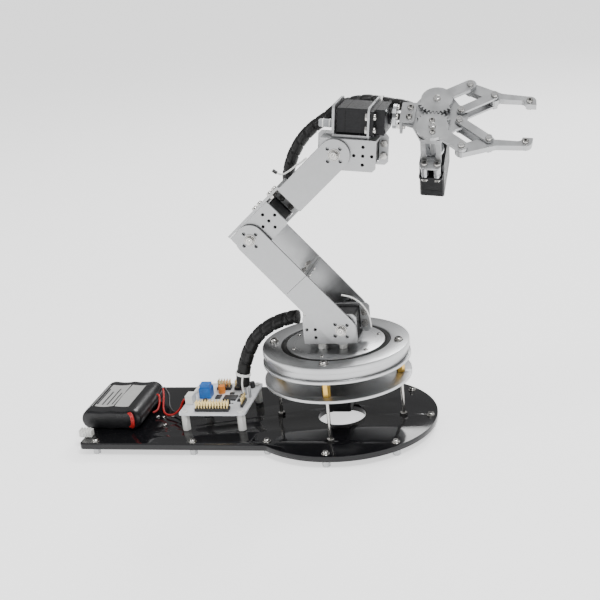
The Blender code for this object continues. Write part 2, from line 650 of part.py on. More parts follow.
def finger_link():
    """Two flat bars above and below the jaw, on the pin that turns in the claw base."""
    bar = (arc(CRANK_LENGTH, 0, 3.5, -90, 90, 6) + arc(0, 0, 3.5, 90, 270, 6))
    far = [circle(CRANK_LENGTH, 0, 1.9, BOLT_SIDES)]
    solids = [sheet("z", bar, -7.3, -5.3, far), rod("z", (0, 0), -6.2, 2.0, SHANK, 6),
              rod("z", (0, 0), -5.6, -2.4, 2.7, 8), rod("z", (0, 0), 2.2, 4.8, 2.75, 8),
              hexagon("z", (0, 0), -9.6, -6.6)]
    return combine(sheet("z", bar, 0.9, 2.9, far), solids, "UNION")


def jaw():
    """A thick finger from the crank's pin, past the link's pin, to a rounded tip with a pad."""
    u, v = JAW_LINK
    outline = arc(0, 0, 5.0, 215, 62, 8)
    outline += [(26.0, -5.2), (46.5, -6.6)] + arc(48.0, -11.6, 5.2, 80, 10, 4)
    outline += [(53.6, -15.6), (45.6, -15.6)] + arc(42.0, -14.8, 3.4, 30, 90, 3)
    outline += [(28.0, -11.6)] + arc(u, v, 4.6, -20, -140, 6)
    finger = sheet("z", outline, -4.8, 0.4, [circle(48.0, -11.4, 1.9, BOLT_SIDES)])
    pins = [rod("z", (0, 0), -4.0, 5.0, SHANK, 6), rod("z", (0, 0), 4.1, 6.0, 2.75, 8),
            hexagon("z", (0, 0), -7.4, -4.4),
            rod("z", (u, v), -10.4, 4.0, SHANK, 6), rod("z", (u, v), 3.2, 5.1, 2.75, 8),
            hexagon("z", (u, v), -10.0, -7.6)]
    return combine(finger, pins, "UNION")


def flipped(solid):
    """Mirror a solid across the claw's middle plane."""
    return moved(solid, Matrix.Scale(-1, 4, (0, 1, 0)))


# ---- cable looms -------------------------------------------------------------------------
def tube(points, radius, resolution=2):
    """A round cable through hand-placed points, in the frame of its body."""
    curve = bpy.data.curves.new("route", "CURVE")
    curve.dimensions = "3D"
    spline = curve.splines.new("POLY")
    route = smooth_route(points)
    spline.points.add(len(route) - 1)
    for point, spot in zip(spline.points, route):
        point.co = (*(Vector(spot) * MM), 1)
    curve.bevel_depth = radius * MM
    curve.bevel_resolution = resolution
    curve.use_fill_caps = True
    holder = bpy.data.objects.new("route", curve)
    bpy.context.scene.collection.objects.link(holder)
    mesh = bpy.data.meshes.new_from_object(
        holder.evaluated_get(bpy.context.evaluated_depsgraph_get()))
    bpy.data.objects.remove(holder, do_unlink=True)
    bm = bmesh.new()
    bm.from_mesh(mesh)
    bmesh.ops.remove_doubles(bm, verts=bm.verts, dist=1e-7)
    return solid_from(bm)


def smooth_route(points, steps=2):
    """Catmull-Rom curve through the route's points."""
    pts = [Vector(p) for p in points]
    ends = [pts[0] * 2 - pts[1]] + pts + [pts[-1] * 2 - pts[-2]]
    route = []
    for p0, p1, p2, p3 in zip(ends, ends[1:], ends[2:], ends[3:]):
        for i in range(steps):
            t = i / steps
            route.append(0.5 * (2 * p1 + (p2 - p0) * t + (2 * p0 - 5 * p1 + 4 * p2 - p3) * t * t
                                + (3 * p1 - p0 - 3 * p2 + p3) * t ** 3))
    return route + [pts[-1]]


BASE_LOOM = [(-85, -3, 40), (-84, -2.6, 50), (-81, -2, 61), (-76.5, -0.8, 72), (-70.4, 0.4, 82),
             (-61.8, 1.4, 90), (-52, 2, 95.5), (-45, 2, 98.2), (-39, 1.7, 100)]
SHOULDER_LOOM = [(-38, 1.6, 100.3), (-35.5, 1.2, 100.9), (-33, 0.8, 101.3), (-30.6, 0.4, 101.5)]
BATTERY_LEADS = [[(-171.0, 28.0, 24.0), (-167.5, 18.0, 21.0), (-164.0, 4.0, 14.6),
                  (-158.0, -6.0, 13.6), (-150.0, -9.0, 15.0), (-143.0, -10.0, 21.0),
                  (-139.0, -11.5, 28.5), (-136.3, -12.5, 31.5)],
                 [(-171.0, 31.0, 24.0), (-165.0, 24.0, 20.0), (-160.0, 10.0, 14.6),
                  (-153.5, 0.0, 13.6), (-147.0, -4.0, 16.0), (-141.0, -6.0, 22.0),
                  (-139.0, -8.0, 28.5), (-136.3, -9.0, 31.5)]]
WRIST_LOOM = [(25, 37, -9), (33, 36.6, 3), (41, 35.7, 13.5), (53, 34.8, 21), (66, 33.8, 25.6),
              (78, 32.8, 27.4), (89, 32, 27), (99, 31.8, 25.2), (108, 32.2, 23.8), (116.0, 32.9, 23.3)]
CLAW_LOOM = [(-4.4, 33.2, 28.6), (6, 35.5, 31.5), (16.4, 36.9, 32.8), (26.4, 36.9, 32.0),
             (37, 35.6, 31.2), (45, 33, 31.0), (51.5, 31.3, 29.4), (56.5, 30.2, 25.8)]


def drive_horn():
    """The claw servo's horn, under the drive gear's two posts."""
    lift = CLAW_SERVO_EAR - SERVO_WALL
    return sheet("z", circle(0, 0, 9.0, 18), lift + U_INNER - 3.1, lift + U_INNER - 0.3,
                 [circle(0, 0, 3.4, 8)])


def build_base(body):
    part("base_plate", "black_acrylic", base_plate(), body)
    for place_name, spot in zip(("front", "left", "rear", "right"), column_spots()):
        part("column_post_" + place_name, "steel", column_post(spot), body)
    part("lower_disc", "aluminium", turntable_disc_plate(LOWER_DISC_Z, [servo_window()]), body)
    part("upper_disc", "aluminium",
         turntable_disc_plate(UPPER_DISC_Z, [circle(0, 0, 20.0, 16)]), body)
    part("bearing_ring", "turned_aluminium", bearing_ring(), body, smooth=True)
    part("bearing_cage", "black_plastic", bearing_cage(), body)
    lift = LOWER_DISC_Z - 0.3 - EAR_THICK - SERVO_WALL
    part("base_servo", "black_plastic", servo_solid(), body, WORLD @ upright(0, 0, lift))
    part("battery_pack", "battery_wrap", battery_pack(), body, smooth=True)
    part("balance_connector", "white_nylon", balance_connector(), body)
    part("power_socket", "white_nylon", power_socket(), body)
    for colour, lead in zip(("red", "black"), BATTERY_LEADS):
        part("battery_lead_" + colour, colour + "_wire", tube(lead, 0.9, 1), body, smooth=True)
    part("board", "board", board(), body)
    for name, ((x, y), columns, rows) in zip(("near", "left", "right", "end"), HEADER_BLOCKS):
        part("pin_header_" + name, "header", pin_header(x, y, columns, rows), body)
    part("terminal_block", "blue_plastic", terminal_block(), body)
    part("base_loom", "black_sleeve", tube(BASE_LOOM, 6.0), body, smooth=True)
    return lift


def build_turntable(body, lift):
    part("base_horn", "turned_aluminium", horn(), body, WORLD @ upright(0, 0, lift))
    part("rotor", "turned_aluminium", rotor(), body, smooth=True)
    for number, spot in enumerate(SPACER_SPOTS, 1):
        part("bracket_spacer_%d" % number, "white_nylon", bracket_spacer(*spot), body)
    part("shoulder_bracket", "aluminium", servo_bracket(), body, SHOULDER_SERVO)
    part("shoulder_servo", "black_plastic", servo_solid(), body, SHOULDER_SERVO)
    part("shoulder_loom", "black_sleeve", tube(SHOULDER_LOOM, 6.0), body, smooth=True)


def build_lower_arm(body):
    u_length = LOWER_ARM_LENGTH / 2 - 0.15
    back = LOWER_ARM @ place(LOWER_ARM_LENGTH, 0, 0) @ Matrix.Rotation(math.pi, 4, "Y")
    for end, frame in (("shoulder", LOWER_ARM), ("elbow", back)):
        part("lower_arm_u_" + end, "aluminium", u_bracket(u_length), body, frame)
        part(end + "_horn", "turned_aluminium", horn(), body, frame)
        part(end + "_bearing", "steel", bearing(), body, frame)


def build_forearm(body):
    part("elbow_servo", "black_plastic", servo_solid(), body, FOREARM)
    part("elbow_bracket", "aluminium", servo_bracket(), body, FOREARM)
    part("elbow_angle", "aluminium", elbow_angle(), body, FOREARM)
    turned = WRIST_IN_FOREARM @ Matrix.Rotation(math.pi, 4, "Y")
    part("forearm_u", "aluminium", u_bracket(FOREARM_U), body, turned)
    part("wrist_horn", "turned_aluminium", horn(), body, turned)
    part("wrist_bearing", "steel", bearing(), body, turned)
    part("wrist_loom", "black_sleeve", tube(WRIST_LOOM, 5.2), body, FOREARM, smooth=True)


def build_wrist(body):
    part("pitch_servo", "black_plastic", servo_solid(), body, WRIST)
    part("pitch_bracket", "aluminium", servo_bracket(), body, WRIST)
    part("roll_bracket", "aluminium", servo_bracket(pivot_pin=False), body, ROLL_BRACKET)
    part("roll_servo", "black_plastic", servo_solid(), body, ROLL_SERVO)
    part("claw_loom", "black_sleeve", tube(CLAW_LOOM, 4.8), body, WRIST, smooth=True)


def build_claw(body):
    part("roll_horn", "turned_aluminium", horn(ROLL_HORN_FACE), body, ROLL_HORN)
    part("claw_hub", "aluminium", claw_hub(), body, CLAW)
    part("claw_base", "aluminium", claw_base(), body, CLAW)
    part("claw_servo", "black_plastic", servo_solid(), body,
         CLAW @ upright(GEAR_A, -GEAR_S, CLAW_SERVO_EAR - SERVO_WALL))


def build_fingers(claw_body):
    """Both toothed cranks, the links beside them, and the jaws on the cranks' far pins."""
    gear = place(GEAR_A, GEAR_S, 0)
    swing = Matrix.Rotation(math.radians(CRANK_ANGLE), 4, "Z")
    tip = gear @ swing @ place(CRANK_LENGTH, 0, 0) @ swing.inverted()
    link = place(LINK_A, LINK_S, 0)
    for name, side in (("upper", 1), ("lower", -1)):
        mirror = Matrix.Scale(side, 4, (0, 1, 0))

        def axis_frame(local):
            return CLAW @ place(*(c / MM for c in (mirror @ local).translation))

        crank_body = pivot(name + "_crank_pivot", axis_frame(gear), claw_body)
        link_body = pivot(name + "_link_pivot", axis_frame(link), claw_body)
        jaw_body = pivot(name + "_jaw_pivot", axis_frame(tip), crank_body)
        jobs = [(name + "_crank", "aluminium", upper_crank if side > 0 else lower_crank,
                 crank_body, gear @ swing),
                (name + "_links", "aluminium", finger_link, link_body, link @ swing),
                (name + "_jaw", "aluminium", jaw, jaw_body, tip)]
        if side < 0:
            jobs.append(("drive_horn", "turned_aluminium", drive_horn, crank_body, gear @ swing))
        for part_name, finish, shape, body, local in jobs:
            solid = moved(shape(), local)
            part(part_name, finish, solid if side > 0 else flipped(solid), body, CLAW)


def main():
    base = pivot("robot_arm_base", WORLD)
    lift = build_base(base)
    turntable = pivot("turntable_axis", WORLD @ place(0, 0, RING_TOP), base)
    build_turntable(turntable, lift)
    lower_arm = pivot("shoulder_axis", SHOULDER, turntable)
    build_lower_arm(lower_arm)
    forearm = pivot("elbow_axis", FOREARM, lower_arm)
    build_forearm(forearm)
    wrist = pivot("wrist_pitch_axis", WRIST, forearm)
    build_wrist(wrist)
    claw = pivot("wrist_roll_axis", ROLL_AXIS, wrist)
    build_claw(claw)
    build_fingers(claw)


start_clean()
ARM = bpy.data.collections.new("desktop_robot_arm")
bpy.context.scene.collection.children.link(ARM)
main()
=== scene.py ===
"""Looks for the desktop robot arm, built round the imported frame.  Lengths in the tables below are
millimetres in the frame of the piece's own body; everything in the scene is metres."""

import json
import math

import bmesh
import bpy
from mathutils import Matrix, Vector, noise


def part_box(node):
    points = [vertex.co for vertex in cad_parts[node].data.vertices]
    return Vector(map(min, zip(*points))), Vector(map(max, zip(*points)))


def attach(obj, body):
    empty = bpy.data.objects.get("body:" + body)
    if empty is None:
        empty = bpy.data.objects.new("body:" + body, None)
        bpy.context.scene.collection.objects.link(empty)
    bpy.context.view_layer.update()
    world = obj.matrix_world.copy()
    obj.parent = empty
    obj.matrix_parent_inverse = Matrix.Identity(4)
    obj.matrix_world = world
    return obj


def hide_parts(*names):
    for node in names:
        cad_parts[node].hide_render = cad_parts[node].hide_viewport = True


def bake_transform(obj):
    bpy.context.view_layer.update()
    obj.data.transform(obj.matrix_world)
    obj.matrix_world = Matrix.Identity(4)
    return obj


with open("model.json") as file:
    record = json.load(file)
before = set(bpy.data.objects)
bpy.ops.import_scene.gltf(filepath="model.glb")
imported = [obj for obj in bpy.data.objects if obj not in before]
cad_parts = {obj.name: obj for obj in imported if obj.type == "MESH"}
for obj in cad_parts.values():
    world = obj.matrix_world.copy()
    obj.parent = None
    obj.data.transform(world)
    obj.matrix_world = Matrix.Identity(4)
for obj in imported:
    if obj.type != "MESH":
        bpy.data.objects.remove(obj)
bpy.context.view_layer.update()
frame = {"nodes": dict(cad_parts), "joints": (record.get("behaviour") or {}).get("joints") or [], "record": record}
NODES, RECORD = frame["nodes"], frame["record"]
JOINTS = {joint["name"]: joint for joint in frame["joints"]}
MM = 0.001



def linked(name, data):
    """A new object that holds the data, linked into the scene."""
    obj = bpy.data.objects.new(name, data)
    bpy.context.scene.collection.objects.link(obj)
    return obj


# ---- camera and lights ----
CAMERA_AT = Vector((0.23165, -0.94440, 0.43591))
CAMERA_YAW, CAMERA_PITCH, CAMERA_ROLL = (math.radians(a) for a in (-13.855, 18.150, -5.555))
LIGHTS = [("key", (0.7, -1.0, 1.7), (0, 0, 0.12), 0.5, 30),
          ("fill", (-1.5, -0.8, 0.8), (0, 0, 0.12), 0.6, 9),
          ("back", (0.3, 1.4, 1.3), (0, 0, 0.15), 0.6, 16)]
WORLD_LEVELS = [(0.0, 0.16), (0.42, 0.34), (1.0, 1.0)]   # brightness from the horizon to overhead
FLOOR_HALF_SIZE, FLOOR_DROP, FLOOR_GLOW = 45, 0.0004, 1.1


def make_camera():
    """The photographed view: turned, tipped and rolled about the camera's own place."""
    forward = Vector((math.sin(CAMERA_YAW) * math.cos(CAMERA_PITCH),
                      math.cos(CAMERA_YAW) * math.cos(CAMERA_PITCH), -math.sin(CAMERA_PITCH)))
    level = Vector((math.cos(CAMERA_YAW), -math.sin(CAMERA_YAW), 0))
    rise = level.cross(forward)
    right = level * math.cos(CAMERA_ROLL) + rise * math.sin(CAMERA_ROLL)
    up = rise * math.cos(CAMERA_ROLL) - level * math.sin(CAMERA_ROLL)
    data = bpy.data.cameras.new("camera")
    data.lens, data.sensor_width = 72.8, 36.0
    data.shift_x, data.shift_y = 0.0021, -0.001
    data.clip_start, data.clip_end = 0.05, 20.0
    camera = linked("camera", data)
    camera.matrix_world = Matrix((
        (right.x, up.x, -forward.x, CAMERA_AT.x), (right.y, up.y, -forward.y, CAMERA_AT.y),
        (right.z, up.z, -forward.z, CAMERA_AT.z), (0, 0, 0, 1)))
    bpy.context.scene.camera = camera


def area_light(name, spot, aim, size, power):
    data = bpy.data.lights.new(name, "AREA")
    data.shape, data.size, data.energy = "SQUARE", size, power
    light = linked(name, data)
    light.location = spot
    light.rotation_euler = (Vector(aim) - Vector(spot)).to_track_quat("-Z", "Y").to_euler()


def make_studio():
    """Soft square lights, a world that brightens from the horizon up, and a pale paper floor."""
    for light in LIGHTS:
        area_light(*light)
    world = bpy.data.worlds.new("studio")
    world.use_nodes = True
    nodes, links = world.node_tree.nodes, world.node_tree.links
    split = nodes.new("ShaderNodeSeparateXYZ")
    ramp = nodes.new("ShaderNodeValToRGB")
    links.new(nodes.new("ShaderNodeTexCoord").outputs["Generated"], split.inputs["Vector"])
    links.new(split.outputs["Z"], ramp.inputs["Fac"])
    links.new(ramp.outputs["Color"], nodes["Background"].inputs["Color"])
    ramp.color_ramp.elements.new(0.5)
    for stop, (spot, level) in zip(ramp.color_ramp.elements, WORLD_LEVELS):
        stop.position, stop.color = spot, (level, level, level, 1)
    nodes["Background"].inputs["Strength"].default_value = 1.0
    bpy.context.scene.world = world
    mesh = bpy.data.meshes.new("floor")
    bm = bmesh.new()
    bmesh.ops.create_grid(bm, x_segments=1, y_segments=1, size=FLOOR_HALF_SIZE)
    bmesh.ops.translate(bm, verts=bm.verts, vec=(0, 0, -FLOOR_DROP))
    bm.to_mesh(mesh)
    bm.free()
    mat = Shader("floor_paper", (0.93, 0.93, 0.93), 0.8).speckle(240.0, 0.02)
    mat.bsdf.inputs["Emission Color"].default_value = (1, 1, 1, 1)
    mat.bsdf.inputs["Emission Strength"].default_value = FLOOR_GLOW
    mesh.materials.append(mat.material)
    linked("floor", mesh)


# ---- materials ----
NOISE_SPAN = (0.3, 0.7)       # the part of the noise that carries nearly all its values


class Shader:
    """A Principled material whose colour, roughness and bump are driven by procedural noise."""

    def __init__(self, name, colour, roughness, metallic=0.0, coat=0.0, gloss=0.5):
        self.material = bpy.data.materials.new(name)
        self.material.use_nodes = True
        self.nodes, self.links = self.material.node_tree.nodes, self.material.node_tree.links
        self.bsdf = self.nodes["Principled BSDF"]
        self.colour, self.rough = colour, roughness
        settings = {"Base Color": (*colour, 1), "Roughness": roughness, "Metallic": metallic,
                    "Specular IOR Level": gloss}
        if coat:
            settings.update({"Coat Weight": coat, "Coat Roughness": 0.06})
        for socket, value in settings.items():
            self.bsdf.inputs[socket].default_value = value
        self.coords = self.nodes.new("ShaderNodeTexCoord").outputs["Object"]
        self.normal = None

    def mapped(self, scale, turn):
        mapping = self.nodes.new("ShaderNodeMapping")
        mapping.inputs["Scale"].default_value = scale
        mapping.inputs["Rotation"].default_value = turn
        self.links.new(self.coords, mapping.inputs["Vector"])
        return mapping.outputs["Vector"]

    def noise(self, scale, detail=4.0, vector=None):
        tex = self.nodes.new("ShaderNodeTexNoise")
        tex.inputs["Scale"].default_value = scale
        tex.inputs["Detail"].default_value = detail
        tex.inputs["Roughness"].default_value = 0.55
        self.links.new(vector if vector is not None else self.coords, tex.inputs["Vector"])
        return tex.outputs["Fac"]

    def ranged(self, value, low, high):
        node = self.nodes.new("ShaderNodeMapRange")
        for socket, number in zip(("From Min", "From Max", "To Min", "To Max"), (*NOISE_SPAN, low, high)):
            node.inputs[socket].default_value = number
        self.links.new(value, node.inputs["Value"])
        return node.outputs["Result"]

    def vary_colour(self, value, spread, tint=None):
        ramp = self.nodes.new("ShaderNodeValToRGB")
        low = [max(0.0, c * (1 - spread)) for c in self.colour]
        high = [min(1.0, c * (1 + spread)) for c in (tint or self.colour)]
        for stop, spot, shade in zip(ramp.color_ramp.elements, NOISE_SPAN, (low, high)):
            stop.position, stop.color = spot, (*shade, 1)
        self.links.new(value, ramp.inputs["Fac"])
        self.links.new(ramp.outputs["Color"], self.bsdf.inputs["Base Color"])

    def vary_roughness(self, value, spread):
        self.links.new(self.ranged(value, max(0.02, self.rough - spread), min(1.0, self.rough + spread)),
                       self.bsdf.inputs["Roughness"])

    def bump(self, value, distance, strength=0.5):
        node = self.nodes.new("ShaderNodeBump")
        node.inputs["Strength"].default_value = strength
        node.inputs["Distance"].default_value = distance
        self.links.new(value, node.inputs["Height"])
        if self.normal is not None:
            self.links.new(self.normal, node.inputs["Normal"])
        self.normal = node.outputs["Normal"]
        self.links.new(self.normal, self.bsdf.inputs["Normal"])

    def speckle(self, scale, spread, bump_mm=0.0, rough_spread=0.05):
        value = self.noise(scale)
        self.vary_colour(value, spread)
        self.vary_roughness(self.noise(scale * 0.6), rough_spread)
        if bump_mm:
            self.bump(self.noise(scale * 3), bump_mm * MM)
        return self


def sheet_aluminium(name, lean):
    """Satin rolled sheet: fine grain along the sheet, cloudy tarnish, small pits."""
    mat = Shader(name, (0.43, 0.435, 0.44), 0.38, 1.0)
    grain = mat.noise(900.0, 3.0, mat.mapped((0.06, 1.0, 1.0), turn=(0, lean, 0)))
    cloud = mat.noise(70.0, 6.0)
    mat.vary_colour(cloud, 0.10)
    mat.vary_roughness(cloud, 0.10)
    mat.bump(grain, 0.03 * MM, 0.35)
    mat.bump(mat.noise(420.0, 2.0), 0.02 * MM, 0.25)
    return mat.material


def turned_aluminium(name, centre):
    """Lathe-turned metal: fine rings round the vertical axis through centre."""
    mat = Shader(name, (0.50, 0.505, 0.51), 0.33, 1.0)
    value = mat.coords
    for operation, second in (("SUBTRACT", centre), ("MULTIPLY", (1, 1, 0)), ("LENGTH", None)):
        node = mat.nodes.new("ShaderNodeVectorMath")
        node.operation = operation
        if second:
            node.inputs[1].default_value = second
        mat.links.new(value, node.inputs[0])
        value = node.outputs["Value" if operation == "LENGTH" else "Vector"]
    along = mat.nodes.new("ShaderNodeCombineXYZ")
    mat.links.new(value, along.inputs["X"])
    rings = mat.noise(1600.0, 2.0, along.outputs["Vector"])
    cloud = mat.noise(40.0, 4.0)
    mat.vary_colour(cloud, 0.05)
    mat.vary_roughness(rings, 0.08)
    mat.bump(rings, 0.02 * MM, 0.5)
    return mat.material


# key: name, colour, roughness, the Shader's other settings, and speckle's arguments
METAL = {"metallic": 1.0}
PLAIN_MATERIALS = {
    "small_turned": ("small_turned_aluminium", (0.50, 0.51, 0.52), 0.30, METAL, (500.0, 0.05, 0.02)),
    "steel": ("plated_steel", (0.50, 0.49, 0.47), 0.18, METAL, (300.0, 0.06, 0.01)),
    # painted shade: this near-black stands for the shade inside screw sockets, the horn's centre hole and the
    # bearing's bore
    "painted_recess_shade": ("socket_shadow", (0.05, 0.05, 0.05), 0.5, {"metallic": 0.6}, (400.0, 0.2)),
    "brass": ("brass", (0.72, 0.46, 0.11), 0.30, METAL, (260.0, 0.09, 0.01)),
    "servo": ("servo_plastic", (0.005, 0.005, 0.006), 0.40, {"gloss": 0.3}, (700.0, 0.35, 0.03, 0.08)),
    "sleeve": ("spiral_wrap", (0.005, 0.005, 0.005), 0.42, {"gloss": 0.3}, (350.0, 0.4, 0.03, 0.1)),
    # painted shade: near-black plastic for the shade in the bearing's bore, the servo's top screw recesses and
    # seams, and the terminal's openings
    "cage": ("bearing_shadow_plastic", (0.004, 0.004, 0.004), 0.6, {"gloss": 0.2}, (500.0, 0.3, 0.02)),
    "nylon": ("white_nylon", (0.74, 0.74, 0.71), 0.45, {}, (220.0, 0.03, 0.02)),
    "battery": ("shrink_wrap", (0.006, 0.006, 0.007), 0.32, {"gloss": 0.4}, (60.0, 0.4, 0.05, 0.12)),
    "label": ("paper_label", (0.42, 0.42, 0.41), 0.5, {}, (300.0, 0.05, 0.01)),
    "board": ("solder_mask", (0.70, 0.71, 0.73), 0.38, {"coat": 0.2}, (180.0, 0.04, 0.01)),
    "header": ("header_plastic", (0.015, 0.015, 0.016), 0.45, {}, (500.0, 0.3, 0.02)),
    "gold": ("gold_pin", (0.86, 0.66, 0.28), 0.25, METAL, (600.0, 0.06)),
    "blue": ("blue_plastic", (0.012, 0.13, 0.46), 0.4, {}, (300.0, 0.12, 0.02)),
    "orange": ("orange_plastic", (0.72, 0.22, 0.03), 0.45, {}, (300.0, 0.1, 0.02)),
    "chip": ("chip_resin", (0.02, 0.02, 0.022), 0.5, {}, (600.0, 0.2, 0.01)),
    "red_wire": ("red_silicone", (0.42, 0.012, 0.012), 0.4, {}, (200.0, 0.12, 0.01)),
    "black_wire": ("black_silicone", (0.014, 0.014, 0.015), 0.4, {}, (200.0, 0.3, 0.01)),
    "white_wire": ("white_silicone", (0.80, 0.80, 0.78), 0.45, {}, (200.0, 0.04, 0.01)),
    "grey_sleeve": ("grey_sleeve", (0.32, 0.33, 0.34), 0.55, {}, (260.0, 0.1, 0.02)),
}


def make_materials():
    """Every material by its short key; the ones with more than plain speckle come last."""
    made = {key: Shader(name, colour, roughness, **settings).speckle(*speckle).material
            for key, (name, colour, roughness, settings, speckle) in PLAIN_MATERIALS.items()}
    made["aluminium"] = sheet_aluminium("sheet_aluminium", 0.7)
    made["turned"] = turned_aluminium("turned_aluminium", (YAW_X, 0, 0))
    acrylic = Shader("black_acrylic", (0.003, 0.003, 0.004), 0.10, gloss=0.34)
    acrylic.vary_colour(acrylic.noise(900.0, 2.0), 0.5, (0.006, 0.006, 0.007))
    acrylic.vary_roughness(acrylic.noise(26.0, 6.0), 0.05)
    acrylic.bump(acrylic.noise(18.0, 2.0), 0.05 * MM, 0.2)
    made["acrylic"] = acrylic.material
    return made


# ---- frames of the bodies, from the record's joints ----
def joint_at(name):
    return Vector(JOINTS[name]["pos_m"])


def from_axes(origin, x, y, z):
    return Matrix(((x.x, y.x, z.x, origin.x), (x.y, y.y, z.y, origin.y), (x.z, y.z, z.z, origin.z),
                   (0, 0, 0, 1)))


def link_frame(origin, towards):
    """x along the link, y across the arm, z out of its upper side."""
    x = (towards - origin).normalized()
    y = Vector((0, 1, 0))
    return from_axes(origin, x, y, x.cross(y))


def place(x, y, z):
    return Matrix.Translation(Vector((x, y, z)) * MM)


HALF_TURN = Matrix.Rotation(math.pi, 4, "Y")
YAW_X = JOINTS["base_yaw"]["pos_m"][0]
BASE = Matrix.Translation((YAW_X, 0, 0))
SHOULDER = Matrix.Translation(joint_at("shoulder_pitch"))
SHOULDER_SERVO = SHOULDER @ HALF_TURN
LOWER_ARM = link_frame(joint_at("shoulder_pitch"), joint_at("elbow_pitch"))
LOWER_ARM_LENGTH = (joint_at("elbow_pitch") - joint_at("shoulder_pitch")).length / MM
LOWER_ARM_BACK = LOWER_ARM @ place(LOWER_ARM_LENGTH, 0, 0) @ HALF_TURN
FOREARM = link_frame(joint_at("elbow_pitch"), joint_at("wrist_pitch"))
FOREARM_LENGTH = (joint_at("wrist_pitch") - joint_at("elbow_pitch")).length / MM
FOREARM_BACK = FOREARM @ place(FOREARM_LENGTH, 0, 0) @ HALF_TURN
ROLL_DIRECTION = Vector(JOINTS["wrist_roll"]["axis"])
WRIST = link_frame(joint_at("wrist_pitch"), joint_at("wrist_pitch") + ROLL_DIRECTION)
CLAW_UP = Vector(JOINTS["upper_crank_swing"]["axis"])
GEAR_A, GEAR_S = 73.1, 15.27
CLAW_ACROSS = CLAW_UP.cross(ROLL_DIRECTION)
CLAW = from_axes(joint_at("upper_crank_swing") - (ROLL_DIRECTION * GEAR_A + CLAW_ACROSS * GEAR_S) * MM,
                 ROLL_DIRECTION, CLAW_ACROSS, CLAW_UP)
ROLL_A, ROLL_Y, ROLL_B, EAR_SPAN = 21.0, 13.0, 25.3, 20.3
ROLL_SERVO = WRIST @ Matrix(((0, 1, 0, ROLL_A * MM), (-1, 0, 0, ROLL_Y * MM),
                             (0, 0, 1, ROLL_B * MM), (0, 0, 0, 1)))
MIRROR = Matrix.Scale(-1, 4, (0, 1, 0))

# the base's dimensions, in millimetres
FOOT_HEIGHT, PLATE_TOP = 6.0, 11.0
PLATE_RADIUS, TAIL_HALF_WIDTH, TAIL_END, HUB_HOLE_RADIUS = 82.5, 62.5, -219.5, 20.5
TAIL_CORNER = 4.0
RING_TOP = PLATE_TOP + 68.5
LOWER_DISC_Z, DISC_THICK = PLATE_TOP + 37.5, 2.5
UPPER_DISC_Z = LOWER_DISC_Z + DISC_THICK + 14.0
DISC_RADIUS, RING_RADIUS, RING_BORE, ROTOR_RADIUS = 63.0, 62.5, 46.5, 42.0
FOOT_BOLT_RADIUS, COLUMN_RADIUS, ROTOR_SCREW_RADIUS = 76.8, 53.7, 37.4
BOARD_TOP = PLATE_TOP + 16.6
FOOT_SPOTS = [(FOOT_BOLT_RADIUS * math.cos(math.radians(t)), FOOT_BOLT_RADIUS * math.sin(math.radians(t)))
              for t in range(-135, 136, 45)]
FOOT_SPOTS += [(-206, -56.5), (-206, 56.5), (-118.5, -56.5), (-118.5, 56.5)]
COLUMN_SPOTS = [(COLUMN_RADIUS, 0), (0, COLUMN_RADIUS), (-COLUMN_RADIUS, 0), (0, -COLUMN_RADIUS)]
EAR_HOLE_X = (-14.6, 34.9)
SQUARE, CROSS = 5.0, 5.0 * math.sqrt(2)
U_INNER, SHEET, SERVO_WALL, EAR_THICK = 26.0, 2.0, 6.0, 2.5


# ---- building solids ----
AXIS_TURN = {"x": Matrix(((0, 0, 1, 0), (1, 0, 0, 0), (0, 1, 0, 0), (0, 0, 0, 1))),
             "y": Matrix(((1, 0, 0, 0), (0, 0, 1, 0), (0, -1, 0, 0), (0, 0, 0, 1))),
             "z": Matrix.Identity(4)}


def up_axis(axis, spot, height, toward=1):
    """A frame whose z is the axis, at the spot given by the other two coordinates."""
    at = {"x": (height, *spot), "y": (spot[0], height, spot[1]), "z": (*spot, height)}[axis]
    turn = AXIS_TURN[axis]
    if toward < 0:
        turn = turn @ Matrix.Rotation(math.pi, 4, "X")
    return place(*at) @ turn


